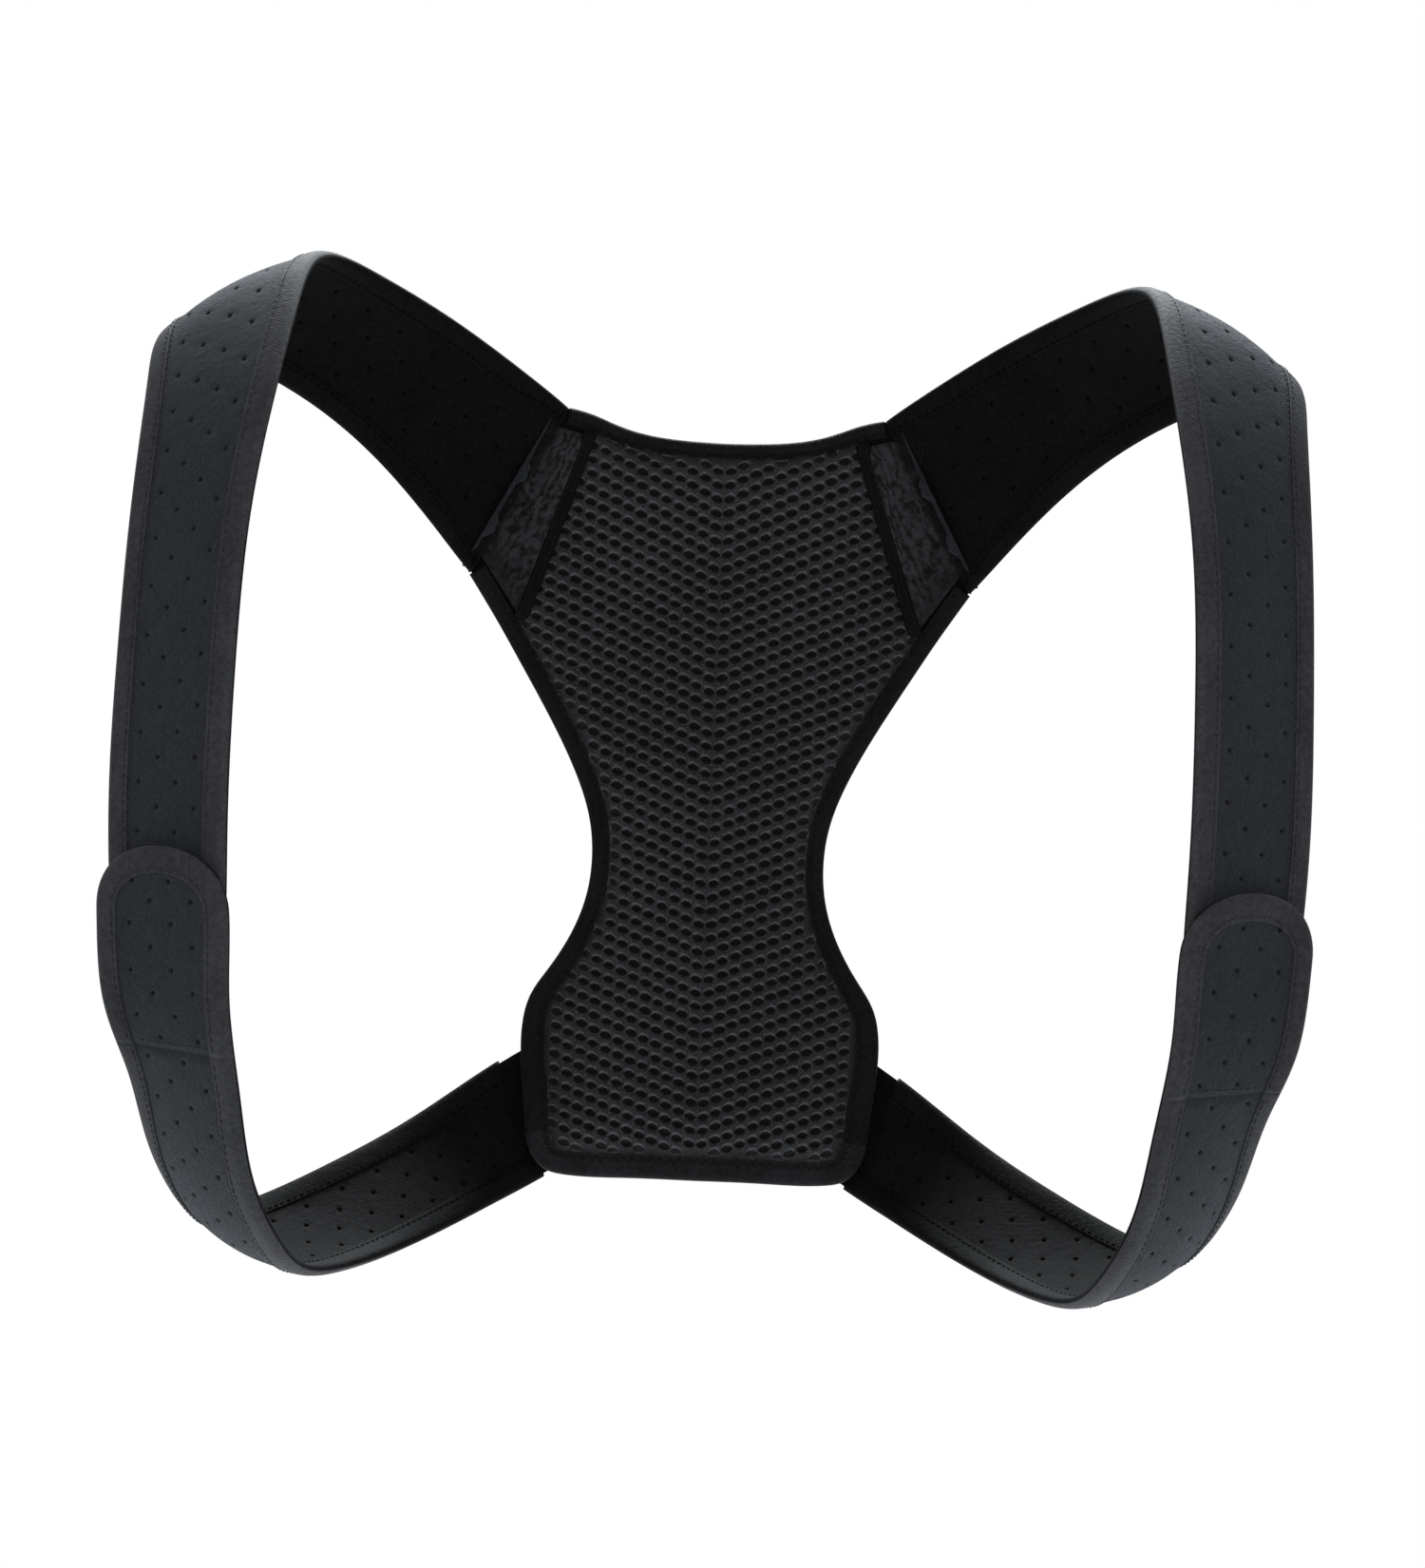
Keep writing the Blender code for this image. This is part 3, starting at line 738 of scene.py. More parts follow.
BLUE = (0.75, 0.86, 1.0)
PALE = (0.95, 0.96, 1.0)
# inner_knit is the lining's own darker colour, and is also darkened as painted shade on the inner
# faces
KNITS = [
    knit_look("outer_knit", (0.0047, 0.005, 0.0066), (0.0083, 0.0088, 0.0112), 0.09, BLUE, 0.16),
    knit_look("inner_knit", (0.0005, 0.0005, 0.0006), (0.0021, 0.0021, 0.0024), 0.022, PALE, 0.05)]
outer_tape = tape_look(
    "outer_tape", (0.0135, 0.0136, 0.0151), (0.0275, 0.0278, 0.0307), 0.1, PALE, 0.1)
# inner_tape and panel_tape are darker copies of the same tape: painted shade on the wearer side
inner_tape = tape_look(
    "inner_tape", (0.0007, 0.0007, 0.0008), (0.0028, 0.0028, 0.0031), 0.02, PALE, 0.05)
panel_tape = tape_look(
    "panel_tape", (0.0018, 0.0018, 0.002), (0.0052, 0.0052, 0.0057), 0.035, PALE, 0.07)
# hem_tape is a lighter copy of panel_tape: painted light on the hem
hem_tape = tape_look(
    "hem_tape", (0.0035, 0.0035, 0.0039), (0.0098, 0.0099, 0.0112), 0.06, PALE, 0.09)
TAPES, PANEL_TAPES = [outer_tape, inner_tape], [outer_tape, panel_tape]
thread = thread_look("thread", (0.007, 0.007, 0.008), (0.02, 0.02, 0.0225), 0.08, 0.25)
# panel_thread and inner_thread are darker copies of the thread: painted shade, like the tapes they
# sit on
panel_thread = thread_look(
    "panel_thread", (0.0012, 0.0012, 0.0013), (0.0052, 0.0052, 0.0057), 0.02, 0.1)
inner_thread = thread_look(
    "inner_thread", (0.0006, 0.0006, 0.0007), (0.0024, 0.0024, 0.0027), 0.0, 0.04)
net_material = net_look("spacer_net")
# The yoke's brushed streaks are its own; its light tone is partly painted light, lit lining fabric
# beside the shaded strap.
brushed = brushed_look("brushed_yoke", (0.0018, 0.0018, 0.002), (0.022, 0.0222, 0.0241))
hook_material = hook_look("hook_field")
foam_material = knit_look(
    "open_foam", (0.018, 0.018, 0.019), (0.034, 0.034, 0.036), 0.05, PALE, 0.15, 0.9)


# ---------------------------------------------------------------- straps

def own(obj, nodes, where="back_panel"):
    """Hides a piece's CAD nodes and attaches it to the body it rides on; given a blend's arguments
    instead, it only bakes the piece's transform.
    """
    if nodes:
        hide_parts(*nodes)
    if isinstance(where, str):
        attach(obj, where)
    else:
        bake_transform(obj)


def metres(point, side):
    return (point[0] * side * MM, point[1] * MM, point[2] * MM)


def hinge_span(strap, s, height, reach_back, reach_on, side):
    """Start and end points of a blend, along the strap through its fold line at s."""
    centre = strap.place([(s, strap.width(s)[0] / 2, height)])[0]
    ahead = strap.place([(s + 1, strap.width(s + 1)[0] / 2, height)])[0] - centre
    ahead /= np.linalg.norm(ahead)
    return metres(centre - ahead * reach_back, side), metres(centre + ahead * reach_on, side)


def stitch(sheet, start, end, radius=0.24):
    """One raised stitch between two points, thick in its middle."""
    start, end = np.asarray(start, float), np.asarray(end, float)
    along = end - start
    length = np.linalg.norm(along)
    along /= length
    side_way = np.cross(along, (0.3, 0.5, 0.81))
    side_way /= np.linalg.norm(side_way)
    other = np.cross(along, side_way)
    rows = []
    for t, swell in ((0.0, 0.3), (0.16, 0.85), (0.5, 1.0), (0.84, 0.85), (1.0, 0.3)):
        centre = start + along * length * t
        ring = []
        for k in range(6):
            angle = k * math.pi / 3
            offset = (side_way * math.cos(angle) + other * math.sin(angle)) * radius * swell
            ring.append(sheet.add(tuple(centre + offset), (length * t, k * 0.2, 0.0)))
        rows.append(ring)
    sheet.rings(rows)


def stitch_line(sheet, points, fill=0.68):
    """Stitches along points that lie half a stitch apart."""
    for a, b in zip(points[:-2:2], points[2::2]):
        stitch(sheet, a + (b - a) * (1 - fill) / 2, b - (b - a) * (1 - fill) / 2)


def even_lip(s, second):
    return np.full(len(s), TAPE_LIP)


def shoulder_lip(s, second):
    """Width of the shoulder tape: narrower by the yoke, and on the neck side by the crest."""
    s = np.asarray(s, float)
    grow = np.clip(s / 28.0, 0, 1)
    start = 6.4 if second else 5.5
    lip = start + (TAPE_LIP - start) * grow * grow * (3 - 2 * grow)
    return lip if second else lip - 1.5 * np.exp(-(((s - crest) / 34.0) ** 2))


def strap_stitches(name, strap, low, high, rows, side, look, where, lip=even_lip):
    """rows are (distance from the tape's lip, second edge or not, height)."""
    sheet = Sheet()
    s_values = np.arange(low, high, STITCH_STEP)
    widths = strap.width(s_values)
    for gap, second, height in rows:
        along = lip(s_values, second) - gap
        line = [(s, w - u if second else u, height)
                for s, w, u in zip(s_values, widths, along)]
        stitch_line(sheet, strap.place(line))
    own(sheet.build(name, side, [look]), [], where)


def tip_row(end, u):
    """Row of spots round a rounded end, u inside its edge."""
    turn = np.radians(np.linspace(0, 90, 30))
    row = [(s, u, ON_TAPE) for s in np.arange(TAB_LENGTH - 1, end.centre, -STITCH_STEP)]
    row += [(*end.corner(g, u, False), ON_TAPE) for g in turn]
    row += [(*end.corner(g, u, True), ON_TAPE) for g in turn[::-1][1:]]
    return row + [(s, underarm.width(s)[0] - u, ON_TAPE)
                  for s in np.arange(end.centre, TAB_LENGTH - 1, STITCH_STEP)]


def tab_stations(shoulder):
    """The tab's stations, from its tip, laid over the front end of the shoulder strap."""
    stations = []
    for back, shift, width in ((50.0, 3.0, 52.5), (25.0, 5.6, 53.8), (0.0, 7.0, 51.8)):
        first, across, _, normal = (v[0] for v in shoulder.frames(shoulder.length - back))
        start = first + normal * TAB_LIFT - across * shift
        stations.append((tuple(start), tuple(start + across * width), 0.0))
    return stations


def odd_steps(low, high, pitch):
    """Steps whose count of gaps is even, as cells need."""
    cells = max(1, int(round((high - low) / (2 * pitch))))
    return np.linspace(low, high, 2 * cells + 1)


def plain_inset(s):
    return np.full(len(np.atleast_1d(s)), EDGE_INSET)


shoulder = Strap(SHOULDER)
crest = shoulder.knots[3] * 0.25 + shoulder.knots[4] * 0.75
underarm = Strap(tab_stations(shoulder) + UNDERARM)
root = underarm.knots[-2]

SIDES = ((1, "left"), (-1, "right"))
END_TURN = np.array([0.3, 0.55, 0.8, 0.985])
TIP_TURN = np.array([0.985, 0.93, 0.86, 0.76, 0.64, 0.5, 0.36, 0.18])
UNDERSIDE = [(INSIDE, False, -ON_TAPE), (INSIDE, True, -ON_TAPE)]


def build_shoulder(side, tag):
    end = RoundEnd(shoulder, shoulder.length, 10.0, 10.0, 2.0)
    where = ("back_panel", "shoulder_front_" + tag,
             *hinge_span(shoulder, crest, -TAPE_OUT, 20.0, 20.0, side))

    def inset(s):
        drawn = START_DRAW * np.exp(-np.clip(s, 0, None) / DRAW_RUN)
        return end.inset(s, EDGE_INSET) + drawn

    rows = np.concatenate([
        odd_steps(-CELL, end.centre, CELL), end.centre + (10.0 - EDGE_INSET) * END_TURN])
    rows = rows if len(rows) % 2 else rows[:-1]
    body = strap_slab("shoulder_strap_" + tag, shoulder, rows, inset, 6, side, KNITS)
    own(body, ["shoulder_strap_rear_" + tag, "shoulder_strap_front_" + tag], where)
    steps = steps_between(-1.0, end.centre, TAPE_STEP)
    spots = drawn_in(rounded_tape_spots(shoulder, steps, end), steps, START_DRAW, DRAW_RUN)
    lips = np.full(len(spots), TAPE_LIP)
    lips[: len(steps)] = shoulder_lip(steps, False)
    lips[-len(steps) :] = shoulder_lip(steps, True)[::-1]
    edge = tape("shoulder_tape_" + tag, spots, lips, side, TAPES, shoulder.place)
    own(edge, ["rear_neck_binding_" + tag, "rear_arm_binding_" + tag,
                               "shoulder_front_binding_" + tag], where)
    outside = [(INSIDE, False, ON_TAPE), (INSIDE, True, ON_TAPE), (BEYOND, True, ON_BAND)]
    for word, lines, look in (("", outside, thread), ("inner_", UNDERSIDE, inner_thread)):
        strap_stitches(f"shoulder_{word}stitches_{tag}", shoulder, 0.5, end.centre, lines,
                       side, look, where, shoulder_lip)


def build_underarm(side, tag):
    where = ("underarm_" + tag, "back_panel",
             *hinge_span(underarm, root, TAPE_OUT, 14.0, 10.0, side))
    rows = odd_steps(TAB_LENGTH, underarm.length, CELL)
    body = strap_slab("underarm_strap_body_" + tag, underarm, rows, plain_inset, 6, side, KNITS)
    own(body, ["underarm_strap_" + tag, "underarm_anchor_" + tag], where)
    steps = steps_between(TAB_LENGTH, root, TAPE_STEP)
    for second, word in ((False, "lower"), (True, "upper")):
        spots = strap_tape_spots(underarm, steps, second)
        edge = tape(f"underarm_{word}_tape_{tag}", spots, [TAPE_LIP] * len(spots), side,
                    TAPES, underarm.place)
        own(edge, [f"underarm_{word}_binding_{tag}"], where)
    outside = [(INSIDE, False, ON_TAPE), (BEYOND, False, ON_BAND), (INSIDE, True, ON_TAPE)]
    for word, lines, look in (("", outside, thread), ("inner_", UNDERSIDE, inner_thread)):
        strap_stitches(f"underarm_{word}stitches_{tag}", underarm, TAB_LENGTH + 2, root,
                       lines, side, look, where)


def build_anchor_stitches(side, tag):
    """Box and cross that sew the underarm strap to the shell."""
    sheet = Sheet()
    near, far = root + 2.5, underarm.length - 2
    box = [(near, 2.5), (near, underarm.width(near)[0] - 2.5),
           (far, underarm.width(far)[0] - 2.5), (far, 2.5)]
    for a, b in ((0, 1), (1, 2), (2, 3), (3, 0), (0, 2), (1, 3)):
        line = resample([box[a], box[b]], STITCH_STEP)
        stitch_line(sheet, underarm.place([(*spot, ON_BAND) for spot in line]))
    own(sheet.build("anchor_stitches_" + tag, side, [thread]), [])


def build_tab(side, tag):
    tip = RoundEnd(underarm, 0.0, 21.0, underarm.width(21.0)[0] / 2, 2.2)
    where = ("tab_body_" + tag, "underarm_" + tag,
             *hinge_span(underarm, TAB_LENGTH, 0.0, 10.0, -1.0, side))
    rows = np.concatenate([tip.centre - (21.0 - EDGE_INSET) * TIP_TURN,
                           odd_steps(tip.centre, TAB_LENGTH, CELL)])
    rows = rows if len(rows) % 2 else rows[1:]
    body = strap_slab("tab_body_cloth_" + tag, underarm, rows,
                      lambda s: tip.inset(s, EDGE_INSET), 6, side, KNITS)
    own(body, ["tab_" + tag], where)
    steps = steps_between(tip.centre, TAB_LENGTH, TAPE_STEP)
    spots = rounded_tape_spots(underarm, steps, tip)
    edge = tape("tab_tape_" + tag, spots, [TAPE_LIP] * len(spots), side, TAPES, underarm.place)
    own(edge, ["tab_binding_" + tag], where)
    sheet = Sheet()
    stitch_line(sheet, underarm.place(tip_row(tip, 7.0)))
    across = np.arange(9.0, underarm.width(62.5)[0] - 8.8, 1.5)
    stitch_line(sheet, underarm.place([(64.2, a, ON_BAND) for a in across]))
    own(sheet.build("tab_stitches_" + tag, side, [thread]), [], where)

    sheet, rings = Sheet(), []
    for s in steps_between(tip.centre - 5.0, TAB_LENGTH - 1.5, 3.0):
        across = np.linspace(HOOK_EDGE, underarm.width(s)[0] - HOOK_EDGE, 7)
        loop = [(a, -1.55) for a in across] + [(a, -2.65) for a in across[::-1]]
        rings.append([sheet.add((s, a, height), (s, a, 0)) for a, height in loop])
    sheet.rings(rings)
    hook = sheet.build("hook_field_" + tag, side, [hook_material], underarm.place)
    own(hook, ["hook_patch_" + tag], "tab_body_" + tag)


for side, tag in SIDES:
    build_shoulder(side, tag)
    build_underarm(side, tag)
    build_anchor_stitches(side, tag)
    build_tab(side, tag)


# ---------------------------------------------------------------- back panel

PAD_RADIUS = 11.0                        # the pad's front rounds off over this distance
PAD_DROP = 6.2                           # and falls this far
PAD_START = 0.9                          # depth of its crown
CORE_DEPTH = 1.9                         # the foam's front lies this far behind the mesh
CORE_BACK = 6.45                         # depth of its back
SWELL_LIMIT, SWELL_FRAMES = 1.3, 20      # most that Cloth may move the foam, and its frames
NET_X, NET_Z = 4.4, 4.8                  # width and height of a cell of the mesh
pad_loop = whole(half_outline(9.2, lambda z: side_lip(z) + 0.7, 6.0, SEAM_LOW, SEAM_HIGH))
under_loop = whole(half_outline(
    6.6, lambda z: side_lip(z) - 1.9, 3.6, (70.4, 54.5), (48.8, 121.5)))


def pad_front(points):
    """Depth of the pad's crowned front at (x, z) points, and their distance inside the edge."""
    inside, _ = edge_distance(points, pad_loop)
    share = np.clip(inside / PAD_RADIUS, 0, 1)
    fall = PAD_DROP * (1 - np.sqrt(1 - (1 - share) ** 2))
    fall = np.where(inside < 0, PAD_DROP, fall)
    return bend(points[:, 1]) + fall + PAD_START, inside


def clipped_nodes(across, up, loop, rise=None):
    """Grid of (x, z) nodes whose outer ones are pulled onto the loop, and their distances inside.

    rise(z) is the slope of the rows away from the middle.
    """
    nodes = np.array([[(x, z + abs(x) * rise(z) if rise else z) for z in up] for x in across])
    inside, near = edge_distance(nodes.reshape(-1, 2), loop)
    inside, near = inside.reshape(nodes.shape[:2]), near.reshape(nodes.shape)
    nodes[inside < 0] = near[inside < 0]
    return nodes, inside


def puffed_core():
    """The foam core: crowned form that Cloth swells against its sewn edge."""
    nodes, inside = clipped_nodes(
        np.arange(-76, 77, CELL), np.arange(-140, 129, CELL), under_loop)
    rows, columns = inside.shape
    flat = nodes.reshape(-1, 2)
    front, _ = pad_front(flat)
    back = bend(flat[:, 1]) + CORE_BACK
    sheet, index = Sheet(), np.arange(rows * columns).reshape(rows, columns)
    for y in (np.minimum(front, back - 0.05), back):
        for (x, z), depth in zip(flat, y):
            sheet.add((x, depth, z), (x, z, 0.0))
    for i in range(rows - 1):
        for j in range(columns - 1):
            corners = [int(c) for c in (index[i, j], index[i + 1, j],
                                        index[i + 1, j + 1], index[i, j + 1])]
            sheet.face(corners)
            sheet.face([c + rows * columns for c in corners[::-1]])
    behind, beyond = index + rows * columns, inside < 0
    sheet.weld(index[beyond].tolist() + behind[beyond].tolist(),
               dict(zip(index.ravel().tolist(), behind.ravel().tolist())))
    obj = sheet.build("foam_form", 1, [foam_material])
    merge(obj, 0.02)
    swell(obj)
    return obj


def swell(obj):
    """Cloth with pressure, held at the sewn edge and the back, with its result kept."""
    scene = bpy.context.scene
    start = np.array([v.co for v in obj.data.vertices])
    inside, _ = edge_distance(start[:, [0, 2]] / MM, pad_loop)
    at_back = start[:, 1] / MM > bend(start[:, 2] / MM) + 6.0
    pin = obj.vertex_groups.new(name="sewn")
    held = np.flatnonzero(at_back | (inside < 1.0))
    pin.add([int(k) for k in held], 1.0, "REPLACE")
    cloth = obj.modifiers.new("cloth", "CLOTH")
    settings = cloth.settings
    settings.quality = 6
    settings.mass = 0.25
    settings.tension_stiffness = settings.compression_stiffness = 12
    settings.shear_stiffness = 8
    settings.bending_stiffness = 0.6
    settings.use_pressure = True
    settings.uniform_pressure_force = 4.0
    settings.effector_weights.gravity = 0.0
    settings.vertex_group_mass = "sewn"
    cloth.collision_settings.use_self_collision = False
    cloth.point_cache.frame_start, cloth.point_cache.frame_end = 1, SWELL_FRAMES
    for number in range(1, SWELL_FRAMES + 1):
        scene.frame_set(number)
    evaluated = obj.evaluated_get(bpy.context.evaluated_depsgraph_get())
    moved = np.array([v.co for v in evaluated.to_mesh().vertices])
    evaluated.to_mesh_clear()
    obj.modifiers.remove(cloth)
    obj.vertex_groups.remove(pin)
    scene.frame_set(1)
    move = moved - start
    length = np.linalg.norm(move, axis=1)[:, None]
    move *= np.minimum(1.0, SWELL_LIMIT * MM / np.maximum(length, 1e-9))
    obj.data.vertices.foreach_set("co", (start + move).ravel())


foam_form = puffed_core()
form_tree = BVHTree.FromObject(foam_form, bpy.context.evaluated_depsgraph_get())


def pad_place(spots):
    """Front of the swollen pad: (x, z, height towards the wearer) to points."""
    spots = np.asarray(spots, float)
    start, inside = pad_front(spots[:, :2])
    y = start.copy()
    for k, (x, z) in enumerate(spots[:, :2]):
        hit = form_tree.ray_cast((x * MM, -0.09, z * MM), (0, 1, 0))[0]
        if hit is not None:
            y[k] = hit[1] / MM
    share = np.clip(inside / 3.0, 0, 1)
    y = start + (y - start) * share - 0.55
    relief = spots[:, 2] * np.clip(0.35 + inside / 5.0, 0.0, 1.0)
    return np.stack([spots[:, 0], y - relief, spots[:, 1]], axis=1)


def net_rise(z):
    """Slope of the mesh's rows, steeper towards the neckline."""
    return 0.4 + 0.1 * min(1.0, max(0.0, (z + 130.0) / 240.0))


def build_net():
    """Spacer mesh: slanted rows of holes between raised ridges, cut to the pad's outline."""
    across, up = np.arange(-36, 37) * NET_X / 2, np.arange(-82, 57) * NET_Z / 2
    nodes, inside = clipped_nodes(across, up, under_loop, net_rise)

    def heights(i, j):
        if i % 2 and j % 2:
            return -0.2
        return 0.6 if i % 2 else (-0.1 if j % 2 else 0.5)

    # painted shade darkens a groove along the border; painted highlight lightens the raised ridges
    def tops(i, j):
        if inside[i, j] < 5.0:
            return 0.75 - 0.1 * max(0.0, inside[i, j])
        return -0.3 if i % 2 and not j % 2 else 0.12

    def shear(p, q):
        return math.copysign(0.12, p) if abs(p) > 0.1 else 0.0

    # the ring marks paint a highlight on each hole's upper rim and shade in its pit
    rings = [(2.3, 1.85, (0.1, 0.6), (-0.1, -1.0)), (2.35, 1.5, (-0.2, 0.15), (0.3, 0.0)),
             (2.25, 1.28, -1.25, 1.0)]
    sheet = Sheet()
    index = cell_grid(sheet, nodes, heights, lambda i, j: inside[i, j] > 2.4, 0, 1, rings,
                      shear, (0.6, 0.68), tops, np.random.default_rng(7))
    sheet.weld(index[inside < 0].tolist())
    obj = sheet.build("mesh_pad", 1, [net_material], pad_place)
    merge(obj, 0.02)
    level = obj.modifiers.new("smooth", "SUBSURF")
    level.levels = level.render_levels = 1
    return obj


def sink(obj):
    """Moves the front of the foam's form back, from the mesh's surface to the foam's own."""
    points = np.array([v.co for v in obj.data.vertices])
    back = bend(points[:, 2] / MM)
    shift = np.minimum(CORE_DEPTH * MM, (back + 6.4) * MM - points[:, 1])
    points[:, 1] += np.where(points[:, 1] / MM < back + 6.0, shift, 0)
    obj.data.vertices.foreach_set("co", points.ravel())


pad = build_net()
own(pad, ["mesh_liner"])
sink(foam_form)
foam_form.name = "foam_pad"
own(foam_form, ["foam_core"])


def panel_spots(points, directions):
    """Spot functions of a tape along the panel's edge."""
    spots = []
    for (x, z), (dx, dz) in zip(points, directions):
        slope = float(bend(np.array(z + 0.5)) - bend(np.array(z - 0.5)))
        inner = np.array([dx, slope * dz, dz])
        inner /= np.linalg.norm(inner)
        normal = np.array([0, 1, -slope]) / np.hypot(1, slope)
        edge = np.array([x, float(bend(np.array(z))) + SHELL_MID, z])
        spots.append(lambda u, h, e=edge, i=inner, n=normal: tuple(e + i * u + n * h))
    return spots


def bound_edge(word, tag, path, lips, side, looks):
    """Tape round one edge of the panel, with zigzag stitches over its inner lip."""
    spots = panel_spots(path, inward(path))
    edge = tape(f"{word}_tape{tag}", spots, lips, side, looks)
    own(edge, [f"{word}_binding{tag}"])
    sheet = Sheet()
    for i in range(len(spots) - 1):
        near, far = (1.0, 3.3) if i % 2 else (3.3, 1.0)
        start = np.array(spots[i](lips[i] - near, PANEL_STITCH))
        end = np.array(spots[i + 1](lips[i + 1] - far, PANEL_STITCH))
        stitch(sheet, start + (end - start) * 0.06, end - (end - start) * 0.06, 0.2)
    own(sheet.build(f"{word}_stitches{tag}", side, [panel_thread]), [])


hem_half = LOWER[: len(HEM_LINE)]
hem_path = resample(np.concatenate([(hem_half * (-1, 1))[:0:-1], hem_half]), TAPE_STEP)
bound_edge("hem", "", hem_path, [TAPE_LIP] * len(hem_path), 1, [outer_tape, hem_tape])
neck_path = resample(np.concatenate([NECK_LINE, (NECK_LINE * (-1, 1))[-2::-1]]), TAPE_STEP)
neck_path[:, 1] -= 1.5 * np.clip((np.abs(neck_path[:, 0]) - 43.0) / 12.0, 0, 1) ** 2
bound_edge("neckline", "", neck_path, [NECK_LIP] * len(neck_path), 1, PANEL_TAPES)
arm_path = resample(LOWER[len(HEM_LINE) - 1 :], TAPE_STEP)
arm_lips = [float(side_lip(z)) for _, z in arm_path]
for side, tag in SIDES:
    bound_edge("armhole", "_" + tag, arm_path, arm_lips, side, PANEL_TAPES)


def build_shell():
    """Outer shell: perforated face behind, plain face in front, both cut to the outline."""
    loop = whole(half_outline(
        1.4, lambda z: np.full(len(z), 1.2), 1.7, (88.6, 72.0), (57.5, 128.6)))
    nodes, inside = clipped_nodes(np.arange(-24, 25) * CELL, np.arange(-36, 35) * CELL, loop)

    def holed(i, j):
        return (i // 2 + j // 2) % 2 == 0 and inside[i, j] > TAPE_LIP + 2

    def place(spots):
        spots = np.asarray(spots, float)
        depth = bend(spots[:, 1]) + SHELL_MID + spots[:, 2]
        return np.stack([spots[:, 0], depth, spots[:, 1]], axis=1)

    sheet, beyond = Sheet(), inside < 0
    top = cell_grid(sheet, nodes, lambda i, j: STRAP_T / 2, holed, 0)
    low = cell_grid(sheet, nodes, lambda i, j: -STRAP_T / 2, lambda i, j: False, 1)
    sheet.weld(top[beyond].tolist() + low[beyond].tolist(),
               dict(zip(top.ravel().tolist(), low.ravel().tolist())))
    obj = sheet.build("back_shell", 1, KNITS, place)
    merge(obj, 0.02)
    return obj


own(build_shell(), ["outer_shell"])


def build_yoke(side, tag):
    """Brushed patch from the slanted seam to just over the start of the shoulder strap."""
    seam_low, seam_high = np.array((69.6, 55.6)), np.array((47.9, 119.6))
    strap_low, strap_high = np.array(YOKE_LOW), np.array(YOKE_HIGH)
    run = (strap_high - strap_low) / np.linalg.norm(strap_high - strap_low)
    strap_low, strap_high = strap_low + run * YOKE_MARGIN, strap_high - run * YOKE_MARGIN
    margin, width = YOKE_MARGIN / math.dist(YOKE_LOW, YOKE_HIGH), shoulder.width(0.0)[0]
    sheet, front, back = Sheet(), [], []
    for t in [*np.linspace(0, 1, 15), 1.05, 1.11, 1.17, 1.23, YOKE_REACH]:
        line_front, line_back = [], []
        inner = min(t, 1.0)
        beyond = (t - inner) / 0.28
        ease = np.clip((inner - 0.6) / 0.4, 0, 1)
        ease = ease * ease * (3 - 2 * ease)
        for r in np.linspace(0, 1, 33):
            a = seam_low + (seam_high - seam_low) * r
            b = strap_low + (strap_high - strap_low) * r
            x, z = a + (b - a) * inner
            base = float(bend(np.array(z))) + SHELL_MID - STRAP_T / 2 - 0.2
            side_fall = min(1.0, min(r, 1 - r) / 0.09)
            crown = math.sqrt(max(0.0, 1 - (1 - side_fall) ** 2))
            height = 4.9 * (1 - inner) + 1.2 * inner + 1.3 * math.sin(math.pi * inner)
            height *= 0.12 + 0.88 * crown
            height *= min(1.0, 0.35 + inner * 6.0)
            fold = (t - 0.42 - 0.1 * math.sin(r * 3)) / 0.05
            crease = 0.5 * math.exp(-(fold**2)) * math.sin(math.pi * r)
            reach = beyond * (2.0 + 6.5 * r + 0.9 * math.sin(r * 17.0))
            across = width * (1 - margin - r * (1 - 2 * margin))
            lift = (0.1 + 0.45 * crown) * (1 - beyond) - 0.15 * beyond
            joint = shoulder.place([(reach, across, -STRAP_T / 2 - lift),
                                    (reach, across, -STRAP_T / 2 + 0.3)])
            own_front = np.array((x, base - height + crease, z))
            own_back = np.array((x, base, z))
            mark = (t, r, 0)
            line_front.append(sheet.add(tuple(own_front + (joint[0] - own_front) * ease), mark))
            line_back.append(sheet.add(tuple(own_back + (joint[1] - own_back) * ease), mark))
        front.append(line_front)
        back.append(line_back)
    for grid in (front, back):
        for low, high in zip(grid, grid[1:]):
            sheet.strip(low, high)
    for end in (0, -1):
        sheet.strip(front[end], back[end])
    for end in (0, -1):
        sheet.strip([row[end] for row in front], [row[end] for row in back])
    return sheet.build("yoke_cloth_" + tag, side, [brushed], None, 1)


SEAM_STEPS, SEAM_DEPTH = 60, 2.6
SEAM_PROFILE = [
    (-2.5, -0.6), (-2.2, 0.15), (-1.5, 0.55), (-0.75, 0.5), (-0.1, 0.12), (0.6, 0.55),
    (1.35, 0.7), (2.1, 0.35), (2.5, -0.5), (2.3, -2.0), (-2.3, -2.0),
]


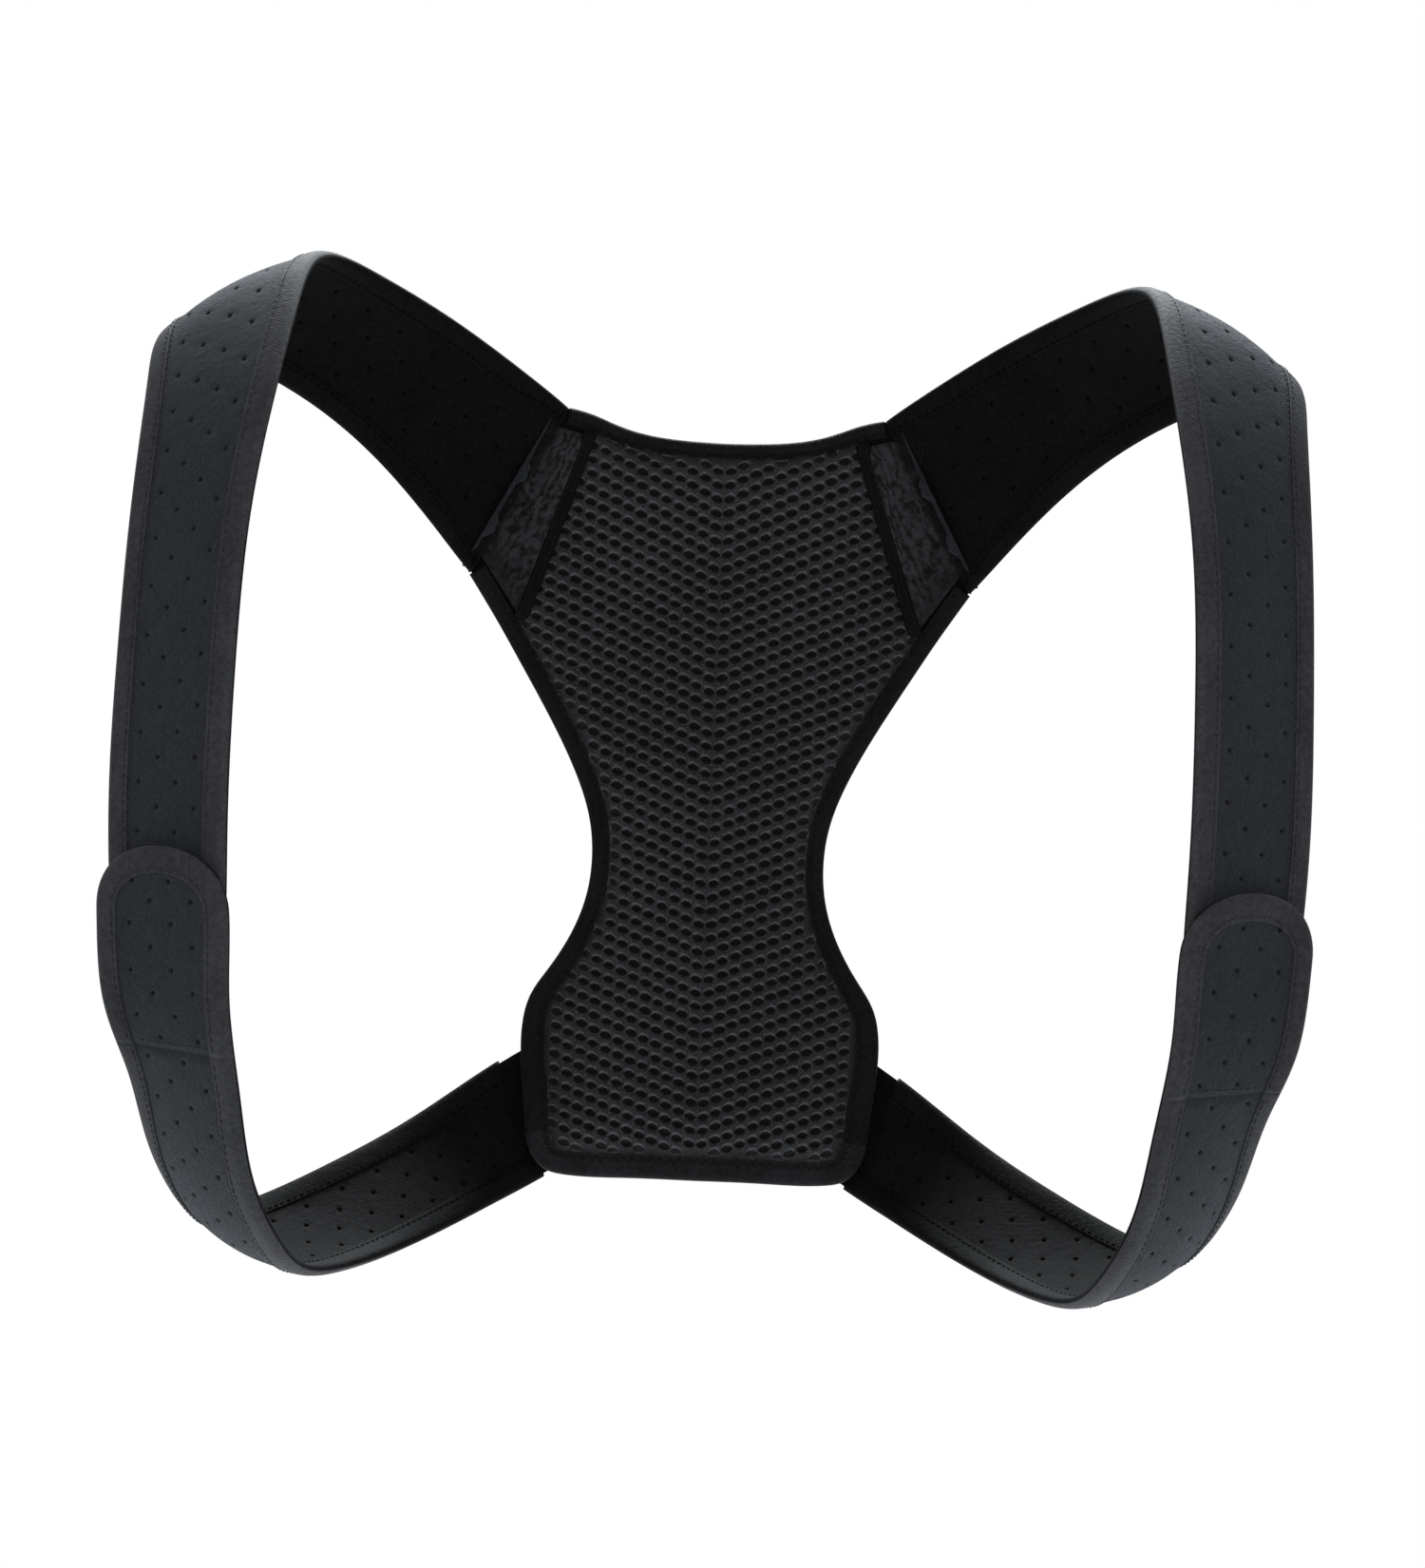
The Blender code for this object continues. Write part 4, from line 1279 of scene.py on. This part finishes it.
def build_seam(side, tag):
    """Double ridge of the seam between the mesh and the yoke, with two rows of stitches."""
    low, high = np.array((69.6, 54.6)), np.array((47.3, 121.0))
    away = np.array((high[1] - low[1], low[0] - high[0])) / np.linalg.norm(high - low)
    sheet, rows, lines = Sheet(), [], ([], [])
    for k in range(SEAM_STEPS + 1):
        t = k / SEAM_STEPS
        middle = low + (high - low) * t
        near_end = max(0.0, abs(2 * t - 1) * 1.06 - 0.86)
        sag = 2.9 * (1 - math.sqrt(max(0.0, 1 - near_end**2 / 0.04)))
        ring = []
        for u, h in SEAM_PROFILE:
            x, z = middle + away * u
            ripple = 0.06 * math.sin(k * 2.1) if h > 0.1 else 0.0
            y = float(bend(np.array(z))) + SEAM_DEPTH + sag - h - ripple
            ring.append(sheet.add((x, y, z), (t * 67.0, u, 0.0)))
        rows.append(ring)
        for line, u in zip(lines, (-1.15, 1.0)):
            x, z = middle + away * u
            line.append((x, float(bend(np.array(z))) + SEAM_DEPTH + sag - 0.62, z))
    sheet.rings(rows)
    own(sheet.build("yoke_seam_" + tag, side, [inner_tape]), [])
    sheet = Sheet()
    for line in lines:
        stitch_line(sheet, resample(line, 1.3))
    own(sheet.build("yoke_seam_stitches_" + tag, side, [panel_thread]), [])


for side, tag in SIDES:
    build_seam(side, tag)
    patch = build_yoke(side, tag)
    own(patch, ["yoke_patch_" + tag])


# ---------------------------------------------------------------- floor, light, camera

def floor_look():
    g = Graph("pale_floor")
    cloud = g.noise(3.0)
    colour = g.mix(cloud, (0.88, 0.88, 0.88), (0.93, 0.93, 0.93))
    return finish_fabric(g, colour, 0.8, g.bump(cloud, 0.0002), 0.0, (1, 1, 1), 0.5, 0.2)


bm = bmesh.new()
bmesh.ops.create_circle(bm, cap_ends=True, segments=96, radius=1.0)
mesh = bpy.data.meshes.new("floor")
bm.to_mesh(mesh)
bm.free()
mesh.materials.append(floor_look())
floor = bpy.data.objects.new("floor", mesh)
floor.location = (0, 0, -0.45)
bpy.context.scene.collection.objects.link(floor)

world = bpy.data.worlds.new("studio")
bpy.context.scene.world = world
world.use_nodes = True
tree = world.node_tree
backdrop = tree.nodes["Background"]
backdrop.inputs["Color"].default_value = (1, 1, 1, 1)
backdrop.inputs["Strength"].default_value = 1.0
ambient = tree.nodes.new("ShaderNodeBackground")
ambient.inputs["Color"].default_value = (0.93, 0.96, 1.0, 1)
ambient.inputs["Strength"].default_value = 0.45
path = tree.nodes.new("ShaderNodeLightPath")
blend_node = tree.nodes.new("ShaderNodeMixShader")
tree.links.new(path.outputs["Is Camera Ray"], blend_node.inputs[0])
tree.links.new(ambient.outputs[0], blend_node.inputs[1])
tree.links.new(backdrop.outputs[0], blend_node.inputs[2])
tree.links.new(blend_node.outputs[0], tree.nodes["World Output"].inputs["Surface"])
bpy.context.scene.view_settings.view_transform = "Standard"


def soft_light(name, location, size, power, colour=(1, 1, 1)):
    light = bpy.data.lights.new(name, "AREA")
    light.shape = "RECTANGLE"
    light.size, light.size_y = size
    light.energy = power
    light.color = colour
    obj = bpy.data.objects.new(name, light)
    obj.location = location
    target = np.array((0, -0.05, 0.0)) - np.array(location)
    obj.rotation_euler = Vector(target).to_track_quat("-Z", "Y").to_euler()
    bpy.context.scene.collection.objects.link(obj)


soft_light("top_light", (0.0, 0.7, 0.95), (0.9, 0.7), 37.0, (0.92, 0.97, 1.0))
soft_light("left_light", (-0.9, -1.0, 0.35), (0.7, 0.9), 5.0)
soft_light("right_light", (0.9, -1.0, 0.35), (0.7, 0.9), 5.0)
soft_light("low_light", (0.0, -1.3, -0.8), (1.2, 0.5), 4.2)
soft_light("front_light", (0.0, -1.7, 0.5), (0.9, 0.5), 6.5)

camera_data = bpy.data.cameras.new("camera")
SENSOR, FRAME_HEIGHT, FOCAL = 36, 1650, 5400   # millimetres, then pixels of the frame
camera_data.lens = FOCAL / FRAME_HEIGHT * SENSOR
camera_data.sensor_width = SENSOR
camera_data.clip_end = 20
camera = bpy.data.objects.new("camera", camera_data)
camera.location = (0.0005, -1.8, 0)
camera.rotation_euler = (math.pi / 2, math.radians(-2.5), 0)
bpy.context.scene.collection.objects.link(camera)
bpy.context.scene.camera = camera
